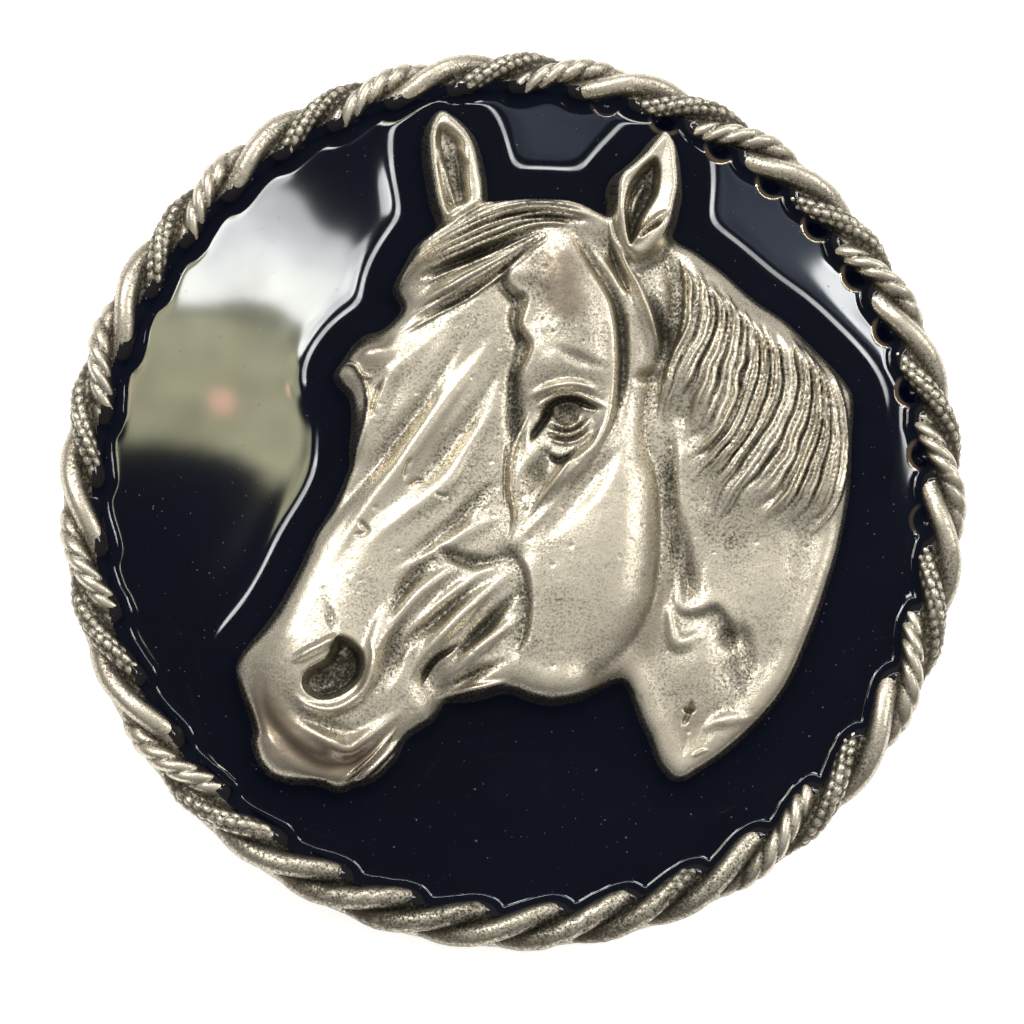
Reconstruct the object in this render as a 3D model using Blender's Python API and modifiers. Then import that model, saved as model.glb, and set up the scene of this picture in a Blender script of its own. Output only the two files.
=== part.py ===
"""Round cast medallion: a rope border and a horse's head in relief, with a poured enamel field.

The medallion lies on its back. Its face looks up +Z, the top of the picture is towards +Y, and the
origin is the middle of the flat back. Sizes are in metres.
"""
import math

import bmesh
import bpy
import numpy as np

# Whole medallion and its plate
MEDAL_DIAMETER = 0.064
PLATE_SIDE_INSET = 0.0004
RIM_HEIGHT = 0.0022
EDGE_CHAMFER = 0.0003
FIELD_FLOOR_HEIGHT = 0.0016
PLATE_SIDES = 96

# Rope border: three strands laid round each other
ROPE_DIAMETER = 0.0035
ROPE_AXIS_HEIGHT = 0.0023
ROPE_TURNS = 13
ROPE_STRANDS = 3
STRAND_GROOVE_DEPTH = 0.00055
STRAND_ROUNDNESS = 0.7
ROPE_START_ANGLE = math.radians(-0.55)
ROPE_BUNCHING = math.radians(3.4)
RINGS_A_STRAND = 3
SIDES_A_RING = 9
WALL_UNDER_ROPE = 0.5

# Poured enamel
ENAMEL_LEVEL = 0.0030
FIT_GAP = 0.0003
ENAMEL_SIDES = 96

# Horse's head. Its drawing is laid out on a grid of squares, x to the right and y down, with the
# medallion's centre at GRID_CENTRE, and its carving's heights are in the same squares. The head
# fills the field: its ears come within EAR_CLEARANCE of the enamel's edge.
GRID_CENTRE = (512, 492)
EAR_CLEARANCE = 0.00045
HEAD_ROOT_DEPTH = 0.0006
CARVING_STEP = 4.5
HEAD_TRIANGLES_KEPT = 0.0475

# Heights of the head's broad planes, in squares: the outline's above the field's floor, and the
# others' above the outline. A rounding is how far inwards a plane's edge takes to come up.
OUTLINE_RISE = 14
OUTLINE_ROUNDING = 9
NECK_RISE = 26
NECK_ROUNDING = 22
NECK_CROWN = 6
NECK_CROWN_ROUNDING = 90
MANE_RISE = 36
MANE_ROUNDING = 20
FACE_RISE = 48
CHEEK_ROUNDING = 24
CHEEK_EDGE_SHARE = 0.6
JAW_ROUNDING = 34
MUZZLE_ROUNDING = 60
NOSE_ROUNDING = 62
POLL_ROUNDING = 16
NEAR_EAR_RISE = 62
NEAR_EAR_ROUNDING = 12

HEAD_OUTLINE = (
    (433, 222), (424, 183), (420, 145), (424, 124), (437, 110), (455, 120), (470, 139),
    (478, 166), (483, 205), (515, 201), (547, 200), (578, 206), (601, 216), (602, 192),
    (610, 174), (634, 154), (650, 135), (660, 131), (670, 143), (676, 185), (672, 212),
    (666, 235), (688, 248), (720, 273), (750, 300), (783, 323), (812, 352), (834, 375),
    (846, 402), (844, 440), (840, 492), (829, 550), (806, 618), (776, 686), (752, 716),
    (720, 746), (688, 768), (670, 777), (656, 766), (642, 734), (622, 690), (612, 681),
    (577, 697), (545, 702), (520, 698), (497, 692), (463, 700), (440, 708), (420, 728),
    (403, 742), (388, 766), (368, 781), (343, 789), (318, 784), (287, 780), (264, 767),
    (254, 744), (250, 712), (238, 672), (250, 647), (272, 620), (295, 580), (315, 538),
    (338, 500), (349, 466), (350, 427), (347, 402), (333, 382), (336, 370), (350, 350),
    (377, 333), (396, 316), (391, 288), (404, 264), (433, 231))

# The cheek's edge, from the ear's foot down to the jaw: it parts the face from the mane and neck
CHEEK_EDGE = (
    (640, 225), (664, 240), (676, 275), (676, 320), (664, 360), (652, 400), (650, 440), (662, 480),
    (664, 540), (660, 585), (648, 625), (626, 658), (600, 680))
JAW_EDGE = ((612, 681), (577, 697), (545, 702), (520, 698), (497, 692), (463, 700), (440, 708))
MUZZLE_EDGE = (
    (440, 708), (420, 728), (403, 742), (388, 766), (368, 781), (343, 789), (318, 784), (287, 780),
    (264, 767), (254, 744), (250, 712), (238, 672))
NOSE_EDGE = (
    (238, 672), (250, 647), (272, 620), (295, 580), (315, 538), (338, 500), (349, 466), (350, 427),
    (347, 402), (333, 382), (336, 370), (350, 350), (377, 333), (396, 316), (391, 288))
POLL_EDGE = ((391, 288), (404, 264), (433, 231), (470, 203), (515, 201), (547, 200), (578, 206), (601, 216))

MANE_PATCH = (
    (664, 238), (700, 252), (745, 290), (800, 332), (838, 375), (852, 420), (846, 495), (820, 512),
    (780, 530), (738, 540), (700, 538), (684, 505), (672, 474), (652, 430), (654, 395), (670, 350),
    (677, 310), (674, 275))

NEAR_EAR = (
    (599, 212), (600, 188), (609, 171), (632, 150), (650, 131), (662, 127), (673, 142), (679, 185),
    (671, 222), (655, 252), (636, 282), (626, 290), (612, 262), (602, 236))

# Raised and sunk patches: height, width of the sloping edge, outline
PATCHES = {
    "far ear": (16, 10, (
        (433, 228), (420, 180), (417, 142), (421, 120), (437, 106), (458, 118), (474, 139),
        (482, 166), (486, 212))),
    "far ear's hollow": (-22, 9, (
        (438, 218), (431, 185), (429, 150), (431, 124), (446, 124), (462, 142), (467, 168), (469, 208))),
    "near ear's hollow": (-30, 11, (
        (612, 222), (617, 193), (628, 172), (642, 157), (656, 157), (657, 183), (647, 215),
        (636, 238), (626, 260), (616, 245))),
    "forelock": (16, 12, (
        (388, 296), (396, 270), (415, 248), (447, 224), (473, 208), (503, 201), (530, 199),
        (560, 199), (592, 210), (597, 224), (560, 226), (522, 234), (480, 252), (440, 268),
        (412, 279), (397, 297))),
    "temple": (17, 22, (
        (562, 232), (574, 250), (590, 276), (603, 300), (607, 330), (604, 360), (600, 378),
        (575, 386), (535, 390), (516, 380), (520, 350), (514, 330), (526, 300), (503, 290),
        (504, 270), (534, 264), (542, 243))),
    "nostril": (-34, 12, (
        (336, 640), (352, 643), (363, 662), (358, 686), (340, 700), (318, 703), (302, 692),
        (303, 677), (322, 662))),
}

# Rounded swellings and dents: height, middle, half widths
LUMPS = {
    "cheek": (7, (596, 560), (62, 88)),
    "hollow beside the nose": (-6, (470, 480), (50, 90)),
    "muzzle": (6, (330, 650), (45, 55)),
    "eye socket": (-19, (563, 412), (25, 20)),
    "eyeball": (15, (562, 409), (15, 13)),
    "eye's inner corner": (-9, (529, 430), (9, 9)),
    "far brow": (10, (358, 366), (18, 14)),
    "dent in the neck": (-9, (716, 640), (9, 9)),
}

# A stroke of the carving rises and widens over a share of its length at both ends
TAPER_SHARE = 0.15
TIP_WIDTH_SHARE = 0.4

# Strokes: height, half width, course. A stroke with a negative height is cut in.
STROKES = {
    "far ear's tuft": (12, 7, ((432, 145), (441, 180), (452, 212))),
    "near ear's fold": (11, 6, ((658, 222), (643, 233), (627, 247))),
    "shadow under the near ear": (-16, 10, ((622, 288), (640, 275), (660, 255), (668, 240))),
    "forelock's top lock": (6, 7, ((390, 292), (400, 270), (447, 227), (503, 205), (560, 204), (593, 217))),
    "forelock's middle lock": (6, 6, ((412, 268), (447, 240), (500, 222), (547, 217), (588, 227))),
    "forelock's low lock": (5, 6, ((430, 268), (473, 240), (527, 223), (553, 222))),
    "cut between the locks": (-8, 6, ((497, 213), (530, 209), (588, 221))),
    "cut under the forelock": (-20, 9, ((397, 295), (430, 269), (473, 254), (522, 232), (550, 223))),
    "second lock": (6, 12, ((402, 303), (430, 287), (490, 262))),
    "cut under the second lock": (-9, 8, ((405, 322), (450, 300), (497, 260))),
    "groove before the temple": (-19, 12, (
        (500, 262), (499, 290), (511, 305), (518, 345), (506, 385), (504, 430), (502, 470))),
    "groove behind the temple": (-14, 11, (
        (566, 232), (600, 290), (613, 345), (612, 378), (604, 425), (584, 466))),
    "cord before the near ear": (-8, 7, ((597, 248), (610, 270), (619, 285))),
    "brow": (10, 12, ((516, 398), (535, 382), (560, 376), (603, 388))),
    "upper eyelid": (7, 6, ((536, 404), (556, 392), (580, 406))),
    "lower eyelid": (7, 5, ((542, 424), (560, 431), (584, 416))),
    "fold under the eye": (5, 5, ((540, 439), (561, 449), (590, 430))),
    "facial crest": (13, 16, ((603, 402), (588, 445), (552, 487), (520, 535), (505, 547))),
    "tear line": (7, 6, ((518, 427), (503, 470), (508, 522), (505, 545))),
    "groove below the crest": (-7, 10, ((612, 425), (575, 485), (532, 545))),
    "bridge's far ridge": (6, 9, ((442, 328), (392, 375), (370, 425), (325, 522))),
    "bridge's far groove": (-5, 8, ((458, 348), (408, 427), (363, 492), (333, 533))),
    "nasal bone": (7, 16, ((492, 342), (442, 408), (398, 475), (335, 557))),
    "nasal groove": (-6, 10, ((497, 380), (433, 467), (370, 535))),
    "side vein": (6, 10, ((497, 417), (447, 483), (373, 542))),
    "groove under the vein": (-6, 9, ((499, 495), (460, 515), (415, 560))),
    "shelf over the mouth": (-10, 8, ((440, 552), (472, 566), (503, 561))),
    "lip muscle": (8, 10, ((452, 570), (413, 601), (378, 644))),
    "groove by the lip muscle": (-8, 7, ((470, 592), (436, 620), (397, 650))),
    "cheek muscle": (9, 10, ((505, 576), (449, 624), (396, 674))),
    "groove by the cheek muscle": (-11, 8, ((512, 600), (478, 632), (450, 664))),
    "jaw muscle": (7, 8, ((512, 622), (470, 655), (438, 682))),
    "groove above the jaw": (-8, 7, ((498, 663), (453, 682), (432, 688))),
    "corner of the mouth": (-9, 9, ((424, 686), (427, 668), (452, 648))),
    "cut before the cheek": (-14, 9, ((501, 548), (519, 585), (516, 650), (530, 692))),
    "nostril's upper wing": (9, 10, ((298, 664), (328, 648), (340, 638))),
    "nostril's lower wing": (8, 9, ((301, 694), (328, 711), (362, 686), (368, 664))),
    "groove behind the nostril": (-9, 9, ((378, 636), (370, 680))),
    "cut of the mouth": (-8, 7, ((294, 708), (340, 732), (346, 748))),
    "lip": (8, 9, ((293, 722), (345, 750), (404, 707))),
    "groove round the lip": (-7, 8, ((268, 690), (296, 747), (348, 762), (398, 722))),
    "fold in the throat": (-9, 10, ((668, 624), (706, 608), (727, 655), (727, 682))),
    "ridge in the throat": (6, 9, ((662, 606), (668, 640), (700, 626))),
    "cord behind the jaw": (6, 8, ((630, 298), (647, 345), (648, 364))),
    "cut before the mane": (-12, 8, ((660, 258), (674, 300), (668, 330))),
}

# Locks of the mane, from the crest of the neck down
LOCK_HEIGHT = 9
LOCK_HALF_WIDTH = 9
LOCKS = (
    ((664, 257), (678, 288), (672, 343), (658, 377), (648, 417)),
    ((680, 262), (695, 293), (690, 347), (667, 383), (656, 420)),
    ((700, 270), (711, 317), (693, 370), (676, 410)),
    ((713, 277), (727, 327), (708, 388), (678, 448)),
    ((728, 286), (741, 337), (728, 402), (678, 472)),
    ((742, 298), (750, 360), (727, 438), (687, 485)),
    ((757, 320), (759, 390), (740, 440), (695, 502)),
    ((768, 324), (771, 385), (742, 452), (702, 530)),
    ((776, 322), (787, 378), (762, 457), (714, 518)),
    ((787, 330), (805, 378), (788, 457), (742, 536)),
    ((800, 342), (818, 400), (795, 482), (760, 536)),
    ((812, 354), (830, 415), (806, 498), (778, 526)),
    ((826, 372), (841, 430), (832, 490), (796, 524)))

# What the sizes above come to
ROPE_RADIUS = ROPE_DIAMETER / 2
ROPE_CIRCLE_RADIUS = MEDAL_DIAMETER / 2 - ROPE_RADIUS
PLATE_RADIUS = MEDAL_DIAMETER / 2 - PLATE_SIDE_INSET
FIELD_RADIUS = ROPE_CIRCLE_RADIUS - WALL_UNDER_ROPE * ROPE_RADIUS
ENAMEL_RADIUS = ROPE_CIRCLE_RADIUS - ROPE_RADIUS - FIT_GAP
STRAND_PASSES = ROPE_TURNS * ROPE_STRANDS
EAR_REACH_IN_SQUARES = max(math.dist(point, GRID_CENTRE) for point in HEAD_OUTLINE)
SQUARE = (ENAMEL_RADIUS - EAR_CLEARANCE) / EAR_REACH_IN_SQUARES


# Curves and edges of the drawing

def smooth_course(points, closed=False, pieces=5):
    """A curve through the points, each span cut into the given number of pieces."""
    knots = np.asarray(points, float)
    if closed:
        knots = np.vstack([knots[-1:], knots, knots[:2]])
    else:
        knots = np.vstack([2 * knots[0] - knots[1], knots, 2 * knots[-1] - knots[-2]])
    t = np.linspace(0, 1, pieces, endpoint=False)[:, None]
    spans = []
    for a, b, c, d in zip(knots, knots[1:], knots[2:], knots[3:]):
        bend = (2 * a - 5 * b + 4 * c - d) * t ** 2
        twist = (3 * b - a - 3 * c + d) * t ** 3
        spans.append(0.5 * (2 * b + (c - a) * t + bend + twist))
    if not closed:
        spans.append(knots[-2:-1])
    return np.vstack(spans)


def measure_from(course, x, y, closed=False):
    """Distance of each place from a course, and how far along the course it lies, from 0 to 1."""
    if closed:
        course = np.vstack([course, course[:1]])
    runs = np.hypot(*np.diff(course, axis=0).T)
    start = np.concatenate([[0], np.cumsum(runs)])
    nearest = np.full(x.shape, np.inf)
    along = np.zeros(x.shape)
    for (ax, ay), (bx, by), run, before in zip(course, course[1:], runs, start):
        dx, dy = bx - ax, by - ay
        share = np.clip(((x - ax) * dx + (y - ay) * dy) / run ** 2, 0, 1)
        square = (x - ax - share * dx) ** 2 + (y - ay - share * dy) ** 2
        closer = square < nearest
        nearest = np.where(closer, square, nearest)
        along = np.where(closer, (before + share * run) / start[-1], along)
    return np.sqrt(nearest), along


def lies_inside(loop, x, y):
    """True for each place inside a closed loop."""
    inside = np.zeros(x.shape, bool)
    for (ax, ay), (bx, by) in zip(loop, np.roll(loop, -1, axis=0)):
        if ay == by:
            continue
        crosses = ((ay > y) != (by > y)) & (x < (bx - ax) * (y - ay) / (by - ay) + ax)
        inside ^= crosses
    return inside


def depth_inside(loop, x, y):
    """How far each place lies inside a closed loop, and 0 outside it."""
    distance = measure_from(loop, x, y, closed=True)[0]
    return np.where(lies_inside(loop, x, y), distance, 0)


def round_over(depth, width):
    """A quarter-round edge: 0 at the edge, 1 from the given width inwards."""
    left = 1 - np.clip(depth / width, 0, 1)
    return np.sqrt(1 - left ** 2)


def slope_over(depth, width):
    """A soft S-shaped edge: 0 at the edge, 1 from the given width inwards."""
    t = np.clip(depth / width, 0, 1)
    return t * t * (3 - 2 * t)


# The head's carving

def stroke(x, y, height, half_width, course):
    """A tapering ridge or groove along a course."""
    distance, along = measure_from(smooth_course(course), x, y)
    taper = slope_over(along, TAPER_SHARE) * slope_over(1 - along, TAPER_SHARE)
    reach = half_width * (TIP_WIDTH_SHARE + (1 - TIP_WIDTH_SHARE) * taper)
    across = np.clip(distance / reach, 0, 1)
    return height * taper * (0.5 + 0.5 * np.cos(math.pi * across))


def lump(x, y, height, middle, half_widths):
    u = (x - middle[0]) / half_widths[0]
    v = (y - middle[1]) / half_widths[1]
    return height * np.exp(-(u * u + v * v))


def broad_planes(x, y, depth):
    """Neck, mane and face, without their details, from each place's depth inside the outline."""
    neck = NECK_RISE * round_over(depth, NECK_ROUNDING) + NECK_CROWN * slope_over(depth, NECK_CROWN_ROUNDING)
    mane_depth = np.minimum(depth, depth_inside(smooth_course(MANE_PATCH, closed=True), x, y))
    behind = neck + (MANE_RISE - NECK_RISE) * slope_over(mane_depth, MANE_ROUNDING)

    edges = (
        (CHEEK_EDGE, CHEEK_ROUNDING, CHEEK_EDGE_SHARE), (JAW_EDGE, JAW_ROUNDING, 0),
        (MUZZLE_EDGE, MUZZLE_ROUNDING, 0), (NOSE_EDGE, NOSE_ROUNDING, 0), (POLL_EDGE, POLL_ROUNDING, 0))
    falls = np.ones(x.shape)
    for points, rounding, least in edges:
        fall = round_over(measure_from(smooth_course(points), x, y)[0], rounding)
        falls = falls * np.maximum(fall, least)
    front = lies_inside(np.vstack([smooth_course(points) for points, rounding, least in edges]), x, y)
    return OUTLINE_RISE + np.where(front, FACE_RISE * falls, behind)


def carved_height(x, y):
    """Height of the head above the field's floor, in squares, at places on the drawing."""
    depth = depth_inside(smooth_course(HEAD_OUTLINE, closed=True), x, y)
    ear_depth = depth_inside(smooth_course(NEAR_EAR, closed=True), x, y)
    near_ear = slope_over(ear_depth, NEAR_EAR_ROUNDING)
    height = np.maximum(broad_planes(x, y, depth), OUTLINE_RISE + NEAR_EAR_RISE * near_ear)
    for rise, width, loop in PATCHES.values():
        height += rise * slope_over(depth_inside(smooth_course(loop, closed=True), x, y), width)
    for rise, middle, half_widths in LUMPS.values():
        height += lump(x, y, rise, middle, half_widths)
    for rise, half_width, course in STROKES.values():
        height += stroke(x, y, rise, half_width, course)
    for course in LOCKS:
        height += stroke(x, y, LOCK_HEIGHT, LOCK_HALF_WIDTH, course)
    return OUTLINE_RISE + np.maximum(height - OUTLINE_RISE, 0) * round_over(depth, OUTLINE_ROUNDING)


# Objects, collections and materials

def clear_scene():
    for obj in list(bpy.data.objects):
        bpy.data.objects.remove(obj)


def new_collection(name):
    collection = bpy.data.collections.new(name)
    bpy.context.scene.collection.children.link(collection)
    return collection


def put_in(collection, obj):
    for other in list(obj.users_collection):
        other.objects.unlink(obj)
    collection.objects.link(obj)
    return obj


def make_material(name, colour, roughness, metallic):
    material = bpy.data.materials.new(name)
    material.use_nodes = True
    shader = material.node_tree.nodes["Principled BSDF"]
    shader.inputs["Base Color"].default_value = (*colour, 1)
    shader.inputs["Roughness"].default_value = roughness
    shader.inputs["Metallic"].default_value = metallic
    return material


def mark_as_cutter(obj):
    obj.hide_render = True
    obj.display_type = "WIRE"
    return obj


def add_boolean(obj, operation, other):
    modifier = obj.modifiers.new(operation.lower() + " " + other.name, "BOOLEAN")
    modifier.operation = operation
    modifier.object = other
    return modifier


def turned_body(name, profile, steps, collection):
    """A solid of revolution. The profile runs from the axis over the top and down the outside."""
    mesh = bpy.data.meshes.new(name)
    mesh.from_pydata([(r, 0, z) for r, z in profile], [(i, i + 1) for i in range(len(profile) - 1)], [])
    obj = bpy.data.objects.new(name, mesh)
    collection.objects.link(obj)
    screw = obj.modifiers.new("turned", "SCREW")
    screw.steps = steps
    screw.render_steps = steps
    screw.use_merge_vertices = True
    screw.merge_threshold = 0.00001
    return obj


def outline_cutter(name, loop, bottom, top, collection):
    """An upright block with the given outline, in metres, as a closed mesh."""
    curve = bpy.data.curves.new(name, "CURVE")
    curve.dimensions = "2D"
    curve.fill_mode = "BOTH"
    curve.extrude = (top - bottom) / 2
    spline = curve.splines.new("POLY")
    spline.points.add(len(loop) - 1)
    for point, (x, y) in zip(spline.points, loop):
        point.co = (x, y, 0, 1)
    spline.use_cyclic_u = True
    drawn = bpy.data.objects.new(name + " curve", curve)
    drawn.location.z = (top + bottom) / 2
    collection.objects.link(drawn)
    graph = bpy.context.evaluated_depsgraph_get()
    mesh = bpy.data.meshes.new_from_object(drawn.evaluated_get(graph))
    work = bmesh.new()
    work.from_mesh(mesh)
    bmesh.ops.remove_doubles(work, verts=work.verts, dist=0.000001)
    bmesh.ops.recalc_face_normals(work, faces=work.faces)
    work.to_mesh(mesh)
    work.free()
    cutter = bpy.data.objects.new(name, mesh)
    cutter.matrix_world = drawn.matrix_world.copy()
    collection.objects.link(cutter)
    bpy.data.objects.remove(drawn)
    return mark_as_cutter(cutter)


def on_the_medal(loop):
    """Places of the drawing, in squares, as metres on the medallion."""
    loop = np.asarray(loop, float)
    return np.column_stack([(loop[:, 0] - GRID_CENTRE[0]) * SQUARE, (GRID_CENTRE[1] - loop[:, 1]) * SQUARE])


def moved_out(loop, gap):
    """The loop moved outwards all round by a gap."""
    ahead = np.roll(loop, -2, axis=0) - np.roll(loop, 2, axis=0)
    ahead /= np.hypot(ahead[:, 0], ahead[:, 1])[:, None]
    x, y = loop.T
    area = np.sum(x * np.roll(y, -1) - np.roll(x, -1) * y)
    outward = np.column_stack([ahead[:, 1], -ahead[:, 0]]) * np.sign(area)
    return loop + gap * outward


# The pieces

def make_plate(collection):
    """Flat-backed plate with a sunk field inside a raised rim."""
    profile = (
        (0, FIELD_FLOOR_HEIGHT), (FIELD_RADIUS, FIELD_FLOOR_HEIGHT), (FIELD_RADIUS, RIM_HEIGHT),
        (PLATE_RADIUS - EDGE_CHAMFER, RIM_HEIGHT), (PLATE_RADIUS, RIM_HEIGHT - EDGE_CHAMFER),
        (PLATE_RADIUS, EDGE_CHAMFER), (PLATE_RADIUS - EDGE_CHAMFER, 0), (0, 0))
    return turned_body("casting", profile, PLATE_SIDES, collection)


def make_rope(collection):
    """Three-strand rope laid round the rim, a ring whose skin follows the strands' twist."""
    bpy.ops.mesh.primitive_torus_add(
        major_radius=ROPE_CIRCLE_RADIUS, minor_radius=ROPE_RADIUS,
        major_segments=STRAND_PASSES * RINGS_A_STRAND, minor_segments=SIDES_A_RING)
    rope = put_in(collection, bpy.context.object)
    rope.name = "rope"
    work = bmesh.new()
    work.from_mesh(rope.data)
    for vert in work.verts:
        round_ring = math.atan2(vert.co.y, vert.co.x)
        off_axis = math.hypot(vert.co.x, vert.co.y) - ROPE_CIRCLE_RADIUS
        round_rope = math.atan2(vert.co.z, off_axis)
        lay = (STRAND_PASSES * round_ring - ROPE_STRANDS * round_rope) / math.tau
        crown = abs(math.sin(math.pi * lay)) ** STRAND_ROUNDNESS
        radius = ROPE_RADIUS - STRAND_GROOVE_DEPTH * (1 - crown)
        reach = ROPE_CIRCLE_RADIUS + radius * math.cos(round_rope)
        turn = round_ring + ROPE_START_ANGLE + ROPE_BUNCHING * math.cos(round_ring)
        vert.co = (reach * math.cos(turn), reach * math.sin(turn), radius * math.sin(round_rope))
    bmesh.ops.triangulate(work, faces=work.faces, quad_method="FIXED")
    work.to_mesh(rope.data)
    work.free()
    rope.location.z = ROPE_AXIS_HEIGHT
    return mark_as_cutter(rope)


def make_head(collection):
    """The horse's head: a carved sheet, closed down to its root and cut to the outline."""
    outline = smooth_course(HEAD_OUTLINE, closed=True)
    low = outline.min(axis=0) - CARVING_STEP
    high = outline.max(axis=0) + CARVING_STEP
    columns, rows = np.ceil((high - low) / CARVING_STEP).astype(int)
    bpy.ops.mesh.primitive_grid_add(x_subdivisions=columns, y_subdivisions=rows, size=2)
    head = put_in(collection, bpy.context.object)
    head.name = "horse_head"

    shell = head.modifiers.new("closed below", "SOLIDIFY")
    shell.thickness = HEAD_ROOT_DEPTH
    graph = bpy.context.evaluated_depsgraph_get()
    sheet_size = len(head.data.vertices)
    head.data = bpy.data.meshes.new_from_object(head.evaluated_get(graph))
    head.modifiers.remove(shell)

    flat = np.array([vert.co[:] for vert in head.data.vertices])
    x = low[0] + (flat[:, 0] + 1) / 2 * (high[0] - low[0])
    y = high[1] - (flat[:, 1] + 1) / 2 * (high[1] - low[1])
    root = FIELD_FLOOR_HEIGHT - HEAD_ROOT_DEPTH
    heights = np.full(len(flat), root)
    heights[:sheet_size] = FIELD_FLOOR_HEIGHT + carved_height(x[:sheet_size], y[:sheet_size]) * SQUARE
    places = on_the_medal(np.column_stack([x, y]))
    head.data.vertices.foreach_set("co", np.column_stack([places, heights]).ravel())

    thin = head.modifiers.new("fewer faces", "DECIMATE")
    thin.ratio = HEAD_TRIANGLES_KEPT
    above = heights.max() + FIT_GAP
    cutter = outline_cutter("head_outline", on_the_medal(outline), root + FIT_GAP, above, collection)
    add_boolean(head, "INTERSECT", cutter)
    return mark_as_cutter(head)


def make_casting(parts, cutters):
    casting = make_plate(parts)
    add_boolean(casting, "UNION", make_rope(cutters))
    add_boolean(casting, "UNION", make_head(cutters))
    casting.data.materials.append(make_material("antiqued white metal", (0.62, 0.57, 0.47), 0.34, 1.0))
    return casting


def make_enamel(parts, cutters):
    """The poured enamel: a level pool between the rope and the head's outline."""
    bottom = FIELD_FLOOR_HEIGHT + FIT_GAP
    profile = ((0, ENAMEL_LEVEL), (ENAMEL_RADIUS, ENAMEL_LEVEL), (ENAMEL_RADIUS, bottom), (0, bottom))
    enamel = turned_body("enamel_fill", profile, ENAMEL_SIDES, parts)
    hole = moved_out(on_the_medal(smooth_course(HEAD_OUTLINE, closed=True, pieces=2)), FIT_GAP)
    cutter = outline_cutter("enamel_hole", hole, FIELD_FLOOR_HEIGHT, ENAMEL_LEVEL + FIT_GAP, cutters)
    add_boolean(enamel, "DIFFERENCE", cutter)
    enamel.data.materials.append(make_material("navy enamel", (0.006, 0.008, 0.022), 0.06, 0.0))
    return enamel


def main():
    clear_scene()
    parts = new_collection("horse_head_medallion")
    cutters = new_collection("cutters")
    make_casting(parts, cutters)
    make_enamel(parts, cutters)


main()
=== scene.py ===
"""Looks of the round cast medallion: rope border, horse's head in relief and poured enamel."""

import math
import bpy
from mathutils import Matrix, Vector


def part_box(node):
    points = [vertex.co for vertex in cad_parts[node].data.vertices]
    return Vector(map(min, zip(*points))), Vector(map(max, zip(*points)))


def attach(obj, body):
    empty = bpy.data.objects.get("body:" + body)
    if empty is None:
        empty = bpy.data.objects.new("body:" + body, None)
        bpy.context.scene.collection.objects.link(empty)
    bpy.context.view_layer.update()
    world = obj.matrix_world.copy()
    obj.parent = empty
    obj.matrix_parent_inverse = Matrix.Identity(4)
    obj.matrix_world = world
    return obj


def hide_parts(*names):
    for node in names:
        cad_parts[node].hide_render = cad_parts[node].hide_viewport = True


bl_info = {
    "name": "Rope-edged horse head medallion",
    "version": (1, 0, 0),
    "blender": (4, 5, 0),
    "location": "3D View > Sidebar > Medallion",
    "description": "Models a cast medallion with a rope border, a carved head and a poured enamel field",
    "category": "Add Mesh",
}

import bpy
import numpy as np
from bpy.props import FloatProperty, FloatVectorProperty, PointerProperty
from mathutils import Matrix, Vector

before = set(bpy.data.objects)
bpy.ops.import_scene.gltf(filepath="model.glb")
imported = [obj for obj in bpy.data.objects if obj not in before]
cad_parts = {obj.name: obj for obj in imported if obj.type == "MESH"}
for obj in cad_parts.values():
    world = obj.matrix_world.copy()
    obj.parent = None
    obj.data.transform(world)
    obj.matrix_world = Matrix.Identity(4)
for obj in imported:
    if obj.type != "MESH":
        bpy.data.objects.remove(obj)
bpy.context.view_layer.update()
ENAMEL_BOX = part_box("enamel_fill")
BODY = "root"

# Sizes that the pieces share, in metres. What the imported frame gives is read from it.
MM = 0.001
FIT_GAP = 0.3 * MM
ENAMEL_LEVEL = ENAMEL_BOX[1][2]
FIELD_FLOOR = ENAMEL_BOX[0][2] - FIT_GAP
ENAMEL_RADIUS = (ENAMEL_BOX[1][0] - ENAMEL_BOX[0][0]) / 2
ROPE_RADIUS = 1.75 * MM
ROPE_CIRCLE_RADIUS = ENAMEL_RADIUS + FIT_GAP + ROPE_RADIUS
ROPE_AXIS_HEIGHT = 2.3 * MM
ROPE_STRANDS = 3
STRAND_PASSES = 39
ROPE_START = math.radians(-0.55)
ROPE_BUNCHING = math.radians(3.4)
PLATE_RADIUS = ROPE_CIRCLE_RADIUS + ROPE_RADIUS - 0.4 * MM
RIM_HEIGHT = 2.2 * MM
RIM_CHAMFER = 0.3 * MM
WALL_BULGE = 0.1 * MM

# The head's drawing is laid out in squares, x to the right and y down, and its carving's heights
# are in squares too. The ears come within EAR_CLEARANCE of the enamel's edge.
GRID_CENTRE = (512, 492)
EAR_CLEARANCE = 0.45 * MM

FAR_EAR_EDGE = (
    (430, 233), (433, 222), (428, 203), (424, 183), (421, 165), (420, 145), (422, 133), (429, 117),
    (437, 110), (446, 114), (458, 123), (468, 135), (473, 147), (477, 162), (480, 180), (482, 197))
POLL_EDGE = (
    (483, 205), (507, 202), (530, 201), (547, 201), (563, 202), (580, 207), (595, 214), (602, 217))
NEAR_EAR_EDGE = (
    (603, 200), (604, 187), (610, 175), (620, 167), (633, 155), (643, 143), (652, 133), (660, 131),
    (668, 140), (673, 153), (675, 172), (676, 192), (673, 208), (670, 223))
CREST_EDGE = (
    (666, 235), (675, 242), (688, 249), (703, 260), (720, 273), (735, 287), (750, 300), (768, 312),
    (783, 323), (800, 340), (812, 352), (832, 373), (842, 387), (846, 400), (844, 433), (842, 475))
NECK_EDGE = (
    (838, 508), (829, 550), (814, 598), (798, 640), (776, 686), (752, 716), (736, 732), (720, 746),
    (704, 758), (688, 768), (676, 775), (666, 775), (658, 768), (650, 756), (642, 734), (634, 718),
    (628, 702), (622, 689))
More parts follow.
